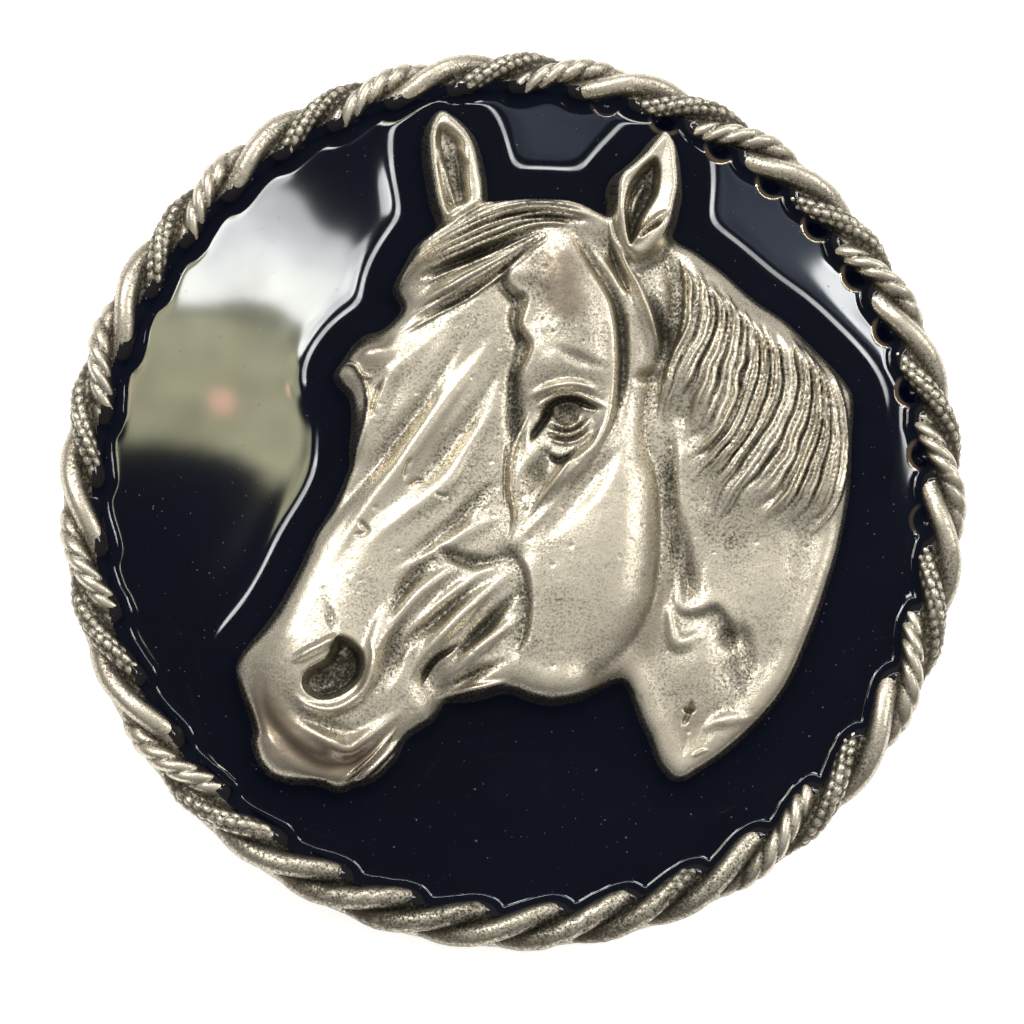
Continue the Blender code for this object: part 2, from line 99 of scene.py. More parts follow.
JAW_EDGE = (
    (614, 680), (597, 687), (577, 697), (555, 702), (538, 702), (520, 697), (510, 693), (497, 692),
    (480, 697), (463, 700))
MUZZLE_EDGE = (
    (443, 703), (437, 712), (428, 722), (415, 730), (403, 740), (395, 757), (383, 770), (370, 780),
    (357, 783), (343, 789), (333, 788), (320, 783), (303, 782), (287, 780), (273, 775), (263, 765),
    (257, 752), (254, 740), (256, 733), (252, 717), (245, 698), (240, 682))
NOSE_EDGE = (
    (237, 670), (242, 657), (256, 640), (265, 630), (278, 612), (290, 590), (300, 570), (310, 547),
    (320, 530), (330, 515), (338, 500), (345, 483), (350, 467), (348, 450), (350, 427), (348, 403),
    (340, 393), (333, 383), (333, 375), (342, 363), (350, 350), (362, 338), (377, 333), (390, 323),
    (398, 310))
BROW_EDGE = ((390, 295), (392, 285), (402, 267), (413, 248))
HEAD_OUTLINE = (
    FAR_EAR_EDGE + POLL_EDGE + NEAR_EAR_EDGE + CREST_EDGE + NECK_EDGE + JAW_EDGE + MUZZLE_EDGE
    + NOSE_EDGE + BROW_EDGE)
EAR_REACH = max(math.dist(point, GRID_CENTRE) for point in HEAD_OUTLINE)
SQUARE = (ENAMEL_RADIUS - EAR_CLEARANCE) / EAR_REACH

CHEEK_EDGE = (
    (640, 225), (664, 240), (676, 275), (676, 320), (664, 360), (652, 400), (650, 440), (662, 480),
    (664, 540), (660, 585), (648, 625), (626, 658), (600, 680))

# The grooves between the nose's side of the face and the cheek's, closed by a loop far to their left
NOSE_SIDE = (
    (549, 190), (548, 226), (529, 252), (506, 271), (501, 289), (519, 301), (515, 330), (523, 350),
    (513, 380), (509, 420), (503, 470), (502, 545), (511, 562), (521, 590), (521, 630), (512, 655),
    (508, 720), (200, 820), (200, 80))
NEAR_EAR = NEAR_EAR_EDGE + (
    (666, 235), (658, 250), (648, 261), (638, 268), (627, 270), (614, 262), (605, 245), (602, 220))

EYEBALL = (560, 414)
EYEBALL_HALF_WIDTHS = (14, 13)
EYEBALL_RISE = 8

# Heights of the broad planes: the outline's above the field's floor, the others' above the outline
OUTLINE_RISE = 14
NECK_RISE = 26
NECK_CROWN = 6
MANE_RISE = 36
FACE_RISE = 48
NEAR_EAR_RISE = 62

# How far in from its edge each plane is rounded. At the cheek's edge the face keeps a share of its height.
CHEEK_ROUNDING = 52
CHEEK_EDGE_SHARE = 0.6
JAW_ROUNDING = 34
MUZZLE_ROUNDING = 60
NOSE_ROUNDING = 62
POLL_ROUNDING = 16
NECK_ROUNDING = 22
NECK_CROWN_ROUNDING = 90
MANE_ROUNDING = 26
NEAR_EAR_ROUNDING = 11

# Raised and sunk patches: height, width of the sloping edge, outline
PATCHES = {
    "far ear": (15, 9, (
        (433, 228), (420, 180), (417, 142), (421, 120), (437, 106), (458, 118), (474, 139),
        (482, 166), (486, 212))),
    "temple": (13, 30, (
        (560, 226), (574, 250), (590, 276), (603, 300), (609, 330), (608, 365), (603, 392),
        (575, 398), (535, 400), (516, 390), (520, 350), (514, 330), (524, 300), (503, 290),
        (500, 276), (512, 266), (532, 260), (542, 240))),
}

# Crisp hollows, cut after the soft forms
HOLLOWS = {
    "far ear": (-13, 9, (
        (441, 220), (433, 190), (429, 160), (429, 136), (436, 127), (448, 132), (459, 144),
        (464, 163), (465, 190), (466, 206), (452, 214))),
    "near ear": (-18, 8, (
        (617, 240), (615, 222), (616, 205), (622, 188), (635, 171), (648, 163), (653, 175),
        (651, 198), (645, 212), (636, 227), (629, 248), (622, 254))),
    "nostril": (-24, 10, (
        (336, 640), (350, 642), (361, 654), (364, 670), (357, 687), (340, 700), (320, 704),
        (304, 695), (301, 681), (309, 670), (325, 660))),
}

# Rounded swellings and dents: height, middle, half widths
LUMPS = {
    "cheek": (9, (592, 560), (58, 88)),
    "hollow of the face": (-7, (470, 480), (45, 80)),
    "muzzle": (10, (322, 660), (50, 55)),
    "chin": (5, (326, 752), (45, 20)),
    "eye socket": (-15, (559, 421), (27, 19)),
    "dark hollow by the temple": (-10, (510, 424), (9, 34)),
    "top of the temple": (3, (548, 252), (14, 18)),
    "left of the temple": (4, (517, 282), (12, 9)),
    "far brow": (10, (368, 361), (26, 15)),
    "dent in the neck": (-9, (722, 636), (13, 10)),
    "throat": (-9, (680, 585), (11, 26)),
    "lower throat": (6, (690, 662), (26, 30)),
    "side of the neck": (5, (770, 600), (35, 50)),
    "nose tip": (5, (292, 628), (26, 36)),
    "mouth corner": (-11, (428, 680), (15, 19)),
    "between cheek and muzzle": (-6, (505, 560), (14, 8)),
}

# Ledges: height of the step, how far it fades to each side, course. The high side is to the
# right of the course when it runs down the drawing.
LEDGES = (
    (16, 10, ((545, 230), (526, 256), (504, 274), (500, 288), (508, 299), (519, 304), (516, 318),
              (513, 333), (523, 350), (520, 364), (514, 378), (511, 392), (512, 420))),
    (13, 18, ((594, 456), (606, 430), (611, 398), (612, 362), (609, 330), (602, 302), (586, 276),
              (572, 252), (562, 228))),
    (10, 18, ((499, 548), (509, 560), (519, 574), (523, 600), (522, 630), (514, 652), (504, 664))),
    (9, 14, ((622, 276), (636, 272), (652, 262), (664, 246), (672, 230))),
    (9, 24, ((662, 590), (672, 612), (690, 613), (708, 608), (722, 626), (728, 655), (728, 700))),
    (8, 22, ((668, 420), (668, 470), (671, 530), (668, 590), (655, 630))),
)

# Strokes: height, half width, course. A stroke with a negative height is cut in. The soft
# ones are smoothed into the form, the crisp ones stay sharp.
SOFT_STROKES = {
    "forelock": (
        (-13, 6, ((470, 230), (492, 225), (520, 221), (545, 221), (570, 224), (600, 231))),
        (-16, 8, ((398, 301), (412, 286), (432, 276), (455, 267), (480, 256), (507, 244), (540, 231))),
        (-7, 8, ((402, 333), (429, 320), (452, 308), (475, 290), (502, 266))),
        (9, 14, ((398, 319), (432, 300), (462, 286), (492, 268), (527, 246)))),
    "temple": (
        (-5, 5, ((540, 234), (520, 258), (498, 276), (495, 291), (508, 305), (507, 326), (514, 348),
                 (509, 370), (505, 392), (505, 420), (506, 456))),
        (-8, 9, ((566, 234), (584, 262), (601, 288), (613, 316), (616, 350), (615, 384), (610, 410),
                  (601, 440), (586, 468), (566, 492))),
        (-5, 8, ((594, 236), (605, 262), (618, 286), (628, 310))),
        (7, 10, ((570, 232), (590, 262), (608, 292), (620, 330))),
        (-5, 9, ((540, 350), (562, 362), (585, 371), (606, 374))),
        (12, 9, ((514, 407), (534, 398), (555, 393), (578, 393), (602, 402)))),
    "facial crest": (
        (10, 15, ((608, 395), (600, 424), (588, 446), (572, 463), (552, 488), (533, 518), (514, 542),
                  (500, 552))),
        (-8, 13, ((545, 450), (528, 478), (514, 510))),
        (-6, 9, ((574, 472), (550, 497), (533, 516), (512, 540))),
        (-6, 18, ((622, 425), (606, 458), (582, 488), (558, 520), (530, 552)))),
    "nose": (
        (8, 16, ((450, 322), (417, 352), (392, 377), (376, 402), (364, 432), (346, 478), (320, 530),
                 (296, 578))),
        (-7, 15, ((470, 326), (448, 360), (428, 394), (408, 425), (388, 452), (362, 486), (340, 514),
                  (306, 566))),
        (8, 18, ((500, 325), (477, 362), (450, 396), (425, 430), (400, 466), (374, 500), (350, 534),
                 (322, 578))),
        (-6, 15, ((506, 350), (486, 388), (464, 424), (446, 450), (428, 474), (404, 496), (366, 530))),
        (6, 16, ((500, 400), (467, 447), (447, 483), (423, 505), (400, 522), (360, 556))),
        (-7, 13, ((505, 484), (480, 496), (463, 513), (446, 533), (410, 560), (380, 580))),
        (5, 14, ((500, 520), (470, 532), (440, 548), (404, 580)))),
    "muscles": (
        (-8, 11, ((420, 548), (444, 558), (466, 566), (490, 564), (508, 552))),
        (9, 13, ((470, 556), (446, 574), (420, 594), (398, 618), (372, 660))),
        (-7, 11, ((446, 548), (422, 568), (404, 588), (388, 616), (376, 640))),
        (-7, 10, ((486, 578), (453, 604), (430, 624), (402, 650), (386, 680))),
        (6, 9, ((492, 566), (466, 584), (446, 600), (420, 624), (398, 646))),
        (10, 12, ((516, 568), (486, 592), (466, 610), (446, 630), (424, 654), (398, 690))),
        (-13, 10, ((520, 588), (498, 610), (478, 632), (458, 652), (436, 672))),
        (9, 11, ((522, 612), (500, 630), (482, 644), (462, 662), (438, 686))),
        (-9, 9, ((508, 660), (480, 672), (453, 684), (428, 692))),
        (7, 9, ((510, 682), (482, 690), (456, 695), (430, 704)))),
    "muzzle": (
        (-4, 7, ((324, 600), (329, 620), (337, 644))),
        (8, 15, ((402, 590), (382, 622), (372, 655), (364, 690), (352, 716))),
        (-7, 14, ((405, 612), (394, 646), (386, 680), (372, 705))),
        (-6, 12, ((280, 690), (298, 714), (326, 728), (350, 732), (374, 716))),
        (8, 13, ((284, 716), (308, 730), (330, 744), (348, 752), (362, 742), (384, 724), (412, 702))),
        (-6, 13, ((262, 670), (268, 714), (290, 746), (320, 764), (350, 764), (378, 748), (408, 716)))),
    "neck": (
        (-9, 14, ((672, 500), (674, 545), (677, 580), (680, 606))),
        (7, 12, ((656, 590), (664, 622), (668, 642), (684, 638), (706, 620))),
        (6, 11, ((690, 730), (712, 719), (746, 715))),
        (-6, 13, ((730, 610), (738, 650), (736, 700)))),
    "behind the cheek": (
        (6, 9, ((616, 282), (634, 310), (644, 340), (650, 376))),
        (-7, 8, ((622, 384), (641, 378), (660, 374))),
        (-8, 9, ((636, 290), (650, 312), (658, 335), (662, 366)))),
}
CRISP_STROKES = {
    "ears": (
        (5, 5, ((432, 140), (437, 165), (445, 195), (453, 216))),
        (-3, 3, ((450, 150), (454, 175), (458, 206))),
        (5, 5, ((452, 146), (458, 157), (464, 170))),
        (7, 6, ((662, 216), (645, 230), (627, 248), (620, 256))),
        (-9, 3, ((655, 229), (642, 236), (628, 248))),
        (4, 5, ((624, 226), (628, 205), (640, 184))),
        (8, 6, ((601, 214), (605, 242), (613, 258), (621, 275), (630, 290), (640, 312), (649, 340),
                (656, 366))),
        (-5, 4, ((601, 240), (608, 264), (617, 286), (627, 308)))),
    "eye": (
        (5, 3.5, ((526, 417), (540, 406), (556, 400), (573, 401), (588, 407), (603, 415))),
        (-8, 4, ((533, 419), (545, 410), (558, 405), (572, 406), (584, 411), (597, 416))),
        (5, 2.6, ((543, 423), (552, 429), (561, 431), (570, 427), (577, 417))),
        (-5, 2.4, ((541, 427), (551, 433), (561, 435), (572, 431), (581, 420))),
        (5, 2.8, ((539, 431), (549, 437), (561, 439), (575, 433), (586, 420))),
        (-4, 2.6, ((539, 436), (549, 442), (561, 444), (574, 439), (585, 427))),
        (4, 3.2, ((538, 441), (549, 447), (561, 449), (574, 444), (584, 433))),
        (-7, 6, ((536, 454), (552, 466), (568, 459), (582, 446), (592, 430))),
        (-9, 6, ((549, 408), (542, 418), (536, 428), (529, 438), (523, 450)))),
    "facial crest": (
        (7, 3.5, ((526, 414), (518, 430), (511, 446), (506, 464), (504, 482), (505, 500), (508, 520),
                  (504, 548))),
        (-3, 3, ((502, 440), (499, 480), (500, 520))),
        (4, 3.5, ((594, 424), (582, 446), (566, 462), (550, 484), (536, 502), (518, 528)))),
    "far brow": (
        (7, 4, ((332, 374), (343, 370), (352, 373), (360, 383), (372, 384))),
        (6, 3, ((352, 376), (361, 388), (364, 402), (364, 420))),
        (-5, 4.5, ((380, 384), (372, 404), (366, 428)))),
    "nose": (
        (4, 5, ((372, 388), (366, 410), (360, 440), (346, 480), (320, 530), (298, 572))),
        (-3, 5, ((355, 524), (364, 537), (350, 542))),
        (-3, 3, ((400, 488), (404, 472), (410, 464))),
        (-2.5, 3, ((402, 494), (414, 486), (424, 488))),
        (-2.5, 3, ((430, 498), (438, 502), (446, 500)))),
    "mouth": (
        (-8, 4.5, ((419, 690), (423, 674), (432, 662), (444, 654), (458, 646))),
        (4, 5, ((430, 700), (458, 693), (482, 688), (508, 681))),
        (4, 3.5, ((346, 790), (366, 774), (385, 756), (403, 733))),
        (3, 3, ((358, 788), (378, 772), (394, 754), (408, 736))),
        (4, 3.5, ((336, 784), (360, 768), (379, 749), (398, 724)))),
    "nostril": (
        (7, 8, ((290, 668), (309, 657), (326, 648), (338, 636))),
        (6, 8, ((292, 694), (308, 708), (328, 713), (348, 706), (366, 688), (372, 662), (366, 640))),
        (3, 7, ((312, 692), (326, 690), (338, 682)))),
    "neck": (
        (-5, 3.5, ((674, 706), (680, 709), (688, 707))),
        (3, 2, ((682, 755), (691, 750), (700, 747))),
        (-4, 3.5, ((684, 696), (680, 712), (673, 726)))),
}

# Patina in the grooves, and painted shade under the lid and in broad hollows: strength, half width, course
PATINA_AND_SHADE_STROKES = (
    (0.50, 13, ((514, 362), (510, 396), (510, 430), (507, 460))),
    (0.24, 7, ((530, 246), (503, 272), (500, 292), (511, 312), (514, 345), (509, 380))),
    (0.34, 12, ((596, 270), (612, 316), (616, 360), (610, 410), (592, 452))),
    (0.55, 11, ((528, 421), (545, 411), (562, 407), (580, 410), (600, 416))),
    (0.80, 17, ((547, 411), (561, 412), (577, 412))),
    (0.55, 9, ((548, 410), (540, 420), (533, 432), (524, 448))),
    (0.26, 13, ((530, 432), (548, 442), (566, 446), (586, 434))),
    (0.40, 12, ((528, 440), (540, 458), (556, 466), (584, 446))),
    (0.20, 22, ((540, 460), (532, 480), (520, 516))),
    (0.12, 14, ((468, 330), (440, 374), (408, 424), (384, 456), (350, 500), (306, 566))),
    (0.10, 12, ((500, 360), (462, 428), (430, 474), (404, 496), (368, 530))),
    (0.20, 12, ((448, 430), (432, 455), (440, 480))),
    (0.22, 14, ((500, 484), (474, 506), (440, 540))),
    (0.26, 14, ((420, 548), (455, 562), (490, 564), (508, 552))),
    (0.20, 13, ((446, 548), (406, 590), (380, 630))),
    (0.18, 10, ((486, 578), (436, 620), (386, 676))),
    (0.30, 13, ((520, 588), (478, 632), (438, 670))),
    (0.45, 9, ((420, 690), (424, 672), (434, 660), (450, 649))),
    (0.35, 12, ((440, 684), (470, 676), (505, 662))),
    (0.15, 18, ((405, 612), (394, 646), (376, 700))),
    (0.30, 16, ((512, 566), (521, 600), (518, 650), (500, 670))),
    (0.34, 18, ((632, 272), (648, 300), (658, 340), (660, 385))),
    (0.12, 14, ((664, 250), (678, 285), (676, 320), (664, 352))),
    (0.42, 12, ((658, 420), (662, 490), (665, 560), (664, 620))),
    (0.20, 14, ((674, 500), (678, 560), (678, 610))),
    (0.26, 22, ((672, 610), (700, 610), (724, 630), (734, 670), (730, 710))),
    (0.24, 16, ((684, 505), (705, 535), (750, 545))),
    (0.40, 17, ((440, 140), (446, 180), (454, 212))),
    (0.46, 18, ((642, 172), (633, 212), (622, 254))),
    (0.52, 24, ((310, 688), (336, 678), (350, 652))),
    (0.38, 40, ((546, 240), (556, 300), (566, 350))),
    (0.30, 30, ((250, 664), (266, 720), (304, 754), (354, 762))),
    (0.40, 12, ((346, 648), (358, 666), (352, 690))),
    (0.18, 10, ((326, 604), (329, 620), (335, 640))),
    (0.42, 8, ((474, 230), (520, 222), (600, 231))),
    (0.36, 11, ((398, 302), (448, 271), (543, 231))),
    (0.20, 9, ((404, 333), (452, 308), (500, 268))),
)

# Painted highlights on the nose, the cheek and the neck: how much brighter, half width, course
PAINTED_HIGHLIGHT_STROKES = (
    (0.30, 46, ((500, 330), (440, 420), (385, 505), (320, 600))),
    (0.22, 62, ((600, 470), (592, 560), (580, 630))),
    (0.12, 44, ((730, 560), (770, 610))),
    (0.16, 12, ((352, 520), (322, 580), (290, 640))),
)

# Painted brown shade: strength, half width, course
BROWN_SHADE_STROKES = (
    (1.0, 38, ((254, 650), (264, 700), (284, 736), (312, 758), (346, 762), (378, 744), (404, 716))),
    (0.6, 18, ((834, 540), (812, 606), (786, 668), (750, 718), (712, 748), (676, 772))),
    (0.5, 24, ((664, 560), (654, 610), (630, 654), (600, 684), (550, 700))),
    (0.7, 26, ((344, 358), (372, 354), (402, 354))),
    (0.5, 45, ((670, 700), (690, 760))),
    (0.75, 40, ((548, 240), (562, 340))),
    (0.30, 26, ((650, 470), (650, 560), (640, 620))),
)

# Guide locks of the mane, from the crest of the neck down to their tips
MANE_LOCKS = (
    ((664, 258), (676, 274), (680, 292), (677, 310), (669, 340), (657, 366), (653, 392), (648, 417)),
    ((683, 268), (693, 280), (697, 296), (694, 320), (684, 348), (669, 372), (660, 398), (655, 422)),
    ((699, 281), (709, 298), (712, 319), (705, 342), (689, 370), (677, 392), (670, 416)),
    ((712, 292), (726, 310), (729, 330), (722, 354), (707, 384), (692, 410), (677, 446)),
    ((728, 304), (741, 322), (743, 346), (735, 380), (724, 406), (705, 440), (690, 458), (677, 476)),
    ((742, 315), (751, 338), (751, 366), (740, 404), (726, 434), (703, 466), (686, 487)),
    ((756, 325), (761, 354), (759, 392), (744, 430), (724, 460), (707, 484), (694, 506)),
    ((767, 330), (772, 358), (773, 388), (764, 418), (742, 452), (727, 474), (713, 498), (700, 534)),
    ((777, 331), (787, 352), (789, 382), (781, 416), (762, 456), (744, 482), (727, 508), (712, 524)),
    ((787, 337), (799, 358), (803, 386), (798, 420), (785, 456), (767, 488), (750, 514), (740, 538)),
    ((798, 348), (809, 370), (813, 402), (809, 438), (792, 482), (774, 512), (758, 538)),
    ((807, 358), (817, 384), (821, 416), (818, 452), (803, 496), (790, 519), (777, 532)),
    ((814, 366), (825, 398), (830, 430), (829, 465), (822, 494), (810, 515), (796, 528)))

# Guide locks of the forelock, from beside the near ear to their tips over the far brow
FORELOCK_LOCKS = (
    ((598, 217), (580, 208), (555, 203), (525, 203), (498, 207), (470, 217), (445, 233), (420, 252),
     (402, 272), (391, 293)),
    ((592, 224), (565, 218), (540, 215), (512, 217), (488, 223), (465, 232), (440, 246), (418, 263),
     (402, 281), (395, 297)),
    ((574, 229), (550, 226), (527, 228), (503, 235), (480, 244), (457, 254), (436, 264), (418, 274),
     (406, 287), (398, 299)))
LOWER_LOCKS = (
    ((549, 234), (520, 246), (495, 258), (470, 269), (445, 280), (420, 293), (401, 309)),
    ((547, 236), (520, 251), (496, 266), (474, 281), (450, 296), (424, 311), (396, 327)),
    ((545, 238), (519, 256), (498, 274), (480, 289), (460, 303), (430, 319), (402, 335), (388, 345)))

# Hair: guide locks, strands from one guide to the next, rise of a strand and of a lock, how far the
# hair spreads beyond its outer guides, how much its strands wander, and seed of its unevenness
MANE = (MANE_LOCKS, 3, 5.6, 4, 10, 0.9, 5)
FORELOCK = (FORELOCK_LOCKS, 2.5, 6.5, 2, 5, 0.3, 8)
LOWER_FORELOCK = (LOWER_LOCKS, 2, 4, 1, 5, 0.3, 9)
HAIR_REACH = 40
STRAY_LOCK_WIDTH = 16

# Strands differ in height, and in where along the guides they end and start, from least to most
STRAND_KINDS = 80
STRAND_HEIGHTS = (0.35, 1)
STRAND_ENDS = (0.78, 1.03)
STRAND_STARTS = (0, 0.05)
FINE_HAIR_SHARE = 0.16

# Where a stroke or ledge thins out at its ends, as shares of its length, and a stroke's half width
# there, as a share of the whole. A ledge's step is LEDGE_EDGE squares wide and ends after
# LEDGE_REACH times its fade.
STROKE_TAPER = 0.28
SOFT_STROKE_TAPER = 0.5
STROKE_TIP = 0.35
LEDGE_TAPER = 0.2
LEDGE_EDGE = 2.5
LEDGE_REACH = 3.5


# Curves and heights of the carving

def smooth_course(points, closed=False, pieces=5):
    """A curve through the points, each span cut into the given number of pieces."""
    knots = np.asarray(points, float)
    if closed:
        knots = np.vstack([knots[-1:], knots, knots[:2]])
    else:
        knots = np.vstack([2 * knots[0] - knots[1], knots, 2 * knots[-1] - knots[-2]])
    t = np.linspace(0, 1, pieces, endpoint=False)[:, None]
    spans = []
    for a, b, c, d in zip(knots, knots[1:], knots[2:], knots[3:]):
        bend = (2 * a - 5 * b + 4 * c - d) * t ** 2
        twist = (3 * b - a - 3 * c + d) * t ** 3
        spans.append(0.5 * (2 * b + (c - a) * t + bend + twist))
    if not closed:
        spans.append(knots[-2:-1])
    return np.vstack(spans)


def round_over(depth, width):
    """A quarter-round edge: 0 at the edge, 1 from the given width inwards."""
    left = 1 - np.clip(depth / width, 0, 1)
    return np.sqrt(1 - left ** 2)


def slope_over(depth, width):
    """A soft S-shaped edge: 0 at the edge, 1 from the given width inwards."""
    t = np.clip(depth / width, 0, 1)
    return t * t * (3 - 2 * t)


def blurred(field, radius):
    """The field smoothed over a radius, in cells, its edges mirrored."""
    pad = int(3 * radius) + 1
    wide = np.pad(field, pad, mode="reflect")
    rows, columns = wide.shape
    pitch = np.fft.fftfreq(rows)[:, None] ** 2 + np.fft.rfftfreq(columns)[None, :] ** 2
    soft = np.fft.irfft2(np.fft.rfft2(wide) * np.exp(-2 * (math.pi * radius) ** 2 * pitch), wide.shape)
    return soft[pad:-pad, pad:-pad]


class Carving:
    """Heights over a grid of places on the drawing, all in squares."""

    def __init__(self, x, y):
        self.x, self.y = x, y
        self.grid_x, self.grid_y = np.meshgrid(x, y)
        self.height = np.zeros(self.grid_x.shape)

    def window(self, low, high):
        """The part of the grid between two corners."""
        columns = np.searchsorted(self.x, [low[0], high[0]])
        rows = np.searchsorted(self.y, [low[1], high[1]])
        return slice(*rows), slice(*columns)

    def measure(self, course, reach, closed=False, signed=False):
        """Distance from a course, never more than reach, and how far along it each place lies.
        A signed distance is positive on the right of a course that runs down the drawing."""
        if closed:
            course = np.vstack([course, course[:1]])
        runs = np.hypot(*np.diff(course, axis=0).T)
        course = course[np.append(True, runs > 0)]
        runs = runs[runs > 0]
        start = np.concatenate([[0], np.cumsum(runs)])
        nearest = np.full(self.height.shape, reach ** 2, float)
        along = np.zeros(self.height.shape)
        side = np.ones(self.height.shape)
        for a, b, run, before in zip(course, course[1:], runs, start):
            part = self.window(np.minimum(a, b) - reach, np.maximum(a, b) + reach)
            x, y = self.grid_x[part], self.grid_y[part]
            dx, dy = b - a
            share = np.clip(((x - a[0]) * dx + (y - a[1]) * dy) / run ** 2, 0, 1)
            square = (x - a[0] - share * dx) ** 2 + (y - a[1] - share * dy) ** 2
            closer = square < nearest[part]
            nearest[part] = np.where(closer, square, nearest[part])
            along[part] = np.where(closer, (before + share * run) / start[-1], along[part])
            if signed:
                turned = (x - a[0]) * dy - (y - a[1]) * dx
                side[part] = np.where(closer, np.sign(turned), side[part])
        return np.sqrt(nearest) * side, along

    def inside(self, loop):
        """True for each place inside a closed loop."""
        found = np.zeros(self.height.shape, bool)
        for (ax, ay), (bx, by) in zip(loop, np.roll(loop, -1, axis=0)):
            if ay == by:
                continue
            rows = slice(*np.searchsorted(self.y, [min(ay, by), max(ay, by)]))
            crossing = (bx - ax) * (self.grid_y[rows] - ay) / (by - ay) + ax
            found[rows] ^= self.grid_x[rows] < crossing
        return found

    def depth(self, loop, reach):
        """How far each place lies inside a closed loop, up to reach, and 0 outside it."""
        return np.where(self.inside(loop), self.measure(loop, reach, closed=True)[0], 0)

    def stroke(self, rise, half_width, course, taper=STROKE_TAPER):
        """Adds a ridge, or cuts a groove, that thins out at both ends."""
        path = smooth_course(course)
        part = self.window(path.min(axis=0) - half_width, path.max(axis=0) + half_width)
        local = Carving(self.x[part[1]], self.y[part[0]])
        if local.height.size == 0:
            return
        distance, along = local.measure(path, half_width)
        ends = slope_over(along, taper) * slope_over(1 - along, taper)
        across = np.clip(distance / (half_width * (STROKE_TIP + (1 - STROKE_TIP) * ends)), 0, 1)
        self.height[part] += rise * ends * (0.5 + 0.5 * np.cos(math.pi * across))

    def ledge(self, rise, fade, course):
        """Adds a step that fades out on both sides and at both ends."""
        reach = LEDGE_REACH * fade
        distance, along = self.measure(smooth_course(course), reach, signed=True)
        ends = slope_over(along, LEDGE_TAPER) * slope_over(1 - along, LEDGE_TAPER)
        sides = np.exp(-np.abs(distance) / fade) * slope_over(reach - np.abs(distance), fade)
        self.height += 0.5 * rise * ends * np.tanh(distance / LEDGE_EDGE) * sides

    def lump(self, rise, middle, half_widths):
        """Adds a soft round swelling, or a dent."""
        u = (self.grid_x - middle[0]) / half_widths[0]
        v = (self.grid_y - middle[1]) / half_widths[1]
        self.height += rise * np.exp(-(u * u + v * v))


def blank_carving(low, high, step):
    """A flat carving between two corners of the drawing, its places a step apart."""
    x, y = (np.arange(start, end + step, step) for start, end in zip(low, high))
    return Carving(x, y)


def patchy(shape, cells, rng):
    """Soft random unevenness from -1 to 1, its patches the given number of cells wide."""
    field = blurred(rng.standard_normal(shape), cells / 2)
    return np.clip(field / (2.5 * field.std()), -1, 1)


# The head's carving

CARVING_CORNERS = ((222, 94), (864, 806))
CARVING_STEP = 1.2
OUTLINE_REACH = 95

# The head's outer edge: how far it lies outside the drawn outline, how it is rounded, how much
# higher than the outline it stands and over what width, how steep the wall below it falls and how
# far out the wall goes
EDGE_SPREAD = 3.5
EDGE_ROUNDING = 7
EDGE_LIFT = 9
EDGE_LIFT_WIDTH = 45
WALL_STEEPNESS = 3.5
SKIRT = 11

# Blur of the carving in cells: along the cheek's edge, after the soft forms and after the hair
CHEEK_EDGE_BLUR = 5
SOFT_FORMS_BLUR = 1.8
HAIR_BLUR = 0.55

# Unevenness of the cast surface: height, width of its patches in cells. The finer ones are
# stronger where the surface is rough.
BROAD_UNEVENNESS = (0.9, 26)
ROUGH_UNEVENNESS = ((0.4, 9), (0.22, 5), (0.14, 2.4))
ROUGH_PATCHES = 60
HAIR_EVENNESS = 0.3
PITS = 260
PIT_SIZES = (1.2, 2.8)
PIT_DEPTHS = (0.3, 1.1)
PITTED_CORNERS = ((240, 120), (840, 780))


def combed(carving, locks, strands, rise, lock_rise, side, wander, seed):
    """Rise of hair that is combed along guide locks, in squares, how thick it lies and how open its
    gaps are. All three are 0 where there is none."""
    rng = np.random.default_rng(seed)
    guides = [carving.measure(smooth_course(guide), HAIR_REACH, signed=True) for guide in locks]
    shape = carving.height.shape
    lock = np.full(shape, -1.0)
    along = np.zeros(shape)
    for number, ((near, near_along), (far, far_along)) in enumerate(zip(guides, guides[1:])):
        between = (near >= 0) & (far < 0) & (near < HAIR_REACH) & (far > -HAIR_REACH)
        share = np.where(between, near / np.maximum(near - far, 0.001), 0)
        lock = np.where(between, number + share, lock)
        along = np.where(between, near_along * (1 - share) + far_along * share, along)
    outermost, outer_along = guides[-1]
    beyond = (outermost >= 0) & (outermost < side)
    lock = np.where(beyond, len(guides) - 1 + outermost / STRAY_LOCK_WIDTH, lock)
    along = np.where(beyond, outer_along, along)
    first, first_along = guides[0]
    before = (first < 0) & (first > -side / 2)
    lock = np.where(before, first / STRAY_LOCK_WIDTH, lock)
    along = np.where(before, first_along, along)
    haired = (lock > -0.5) & (along > 0.002) & (along < 0.998)

    wander = wander * (patchy(shape, 34, rng) + 0.4 * patchy(shape, 12, rng))
    strand = lock * strands + wander
    kind = np.floor(strand).astype(int) % STRAND_KINDS
    heights = rng.uniform(*STRAND_HEIGHTS, STRAND_KINDS)
    lengths = rng.uniform(*STRAND_ENDS, STRAND_KINDS)
    starts = rng.uniform(*STRAND_STARTS, STRAND_KINDS)
    ridge = np.abs(np.sin(math.pi * strand)) ** 1.1
    ends = slope_over(lengths[kind] - along, 0.16) * slope_over(along - starts[kind], 0.12)
    fine = np.abs(np.sin(2 * math.pi * strand + 4 * wander))
    whole = np.abs(np.sin(math.pi * (lock + 0.6 * wander)))
    thick = slope_over(1.02 - along, 0.3)
    rooted = slope_over(along, 0.12)
    total = rise * heights[kind] * ends * ridge + FINE_HAIR_SHARE * rise * fine * ends
    total += lock_rise * whole * thick * rooted
    gaps = (0.7 * (1 - ridge) + 0.6 * (1 - whole) ** 2) * ends * rooted
    return np.where(haired, total, 0), np.where(haired, thick, 0), np.where(haired, gaps, 0)


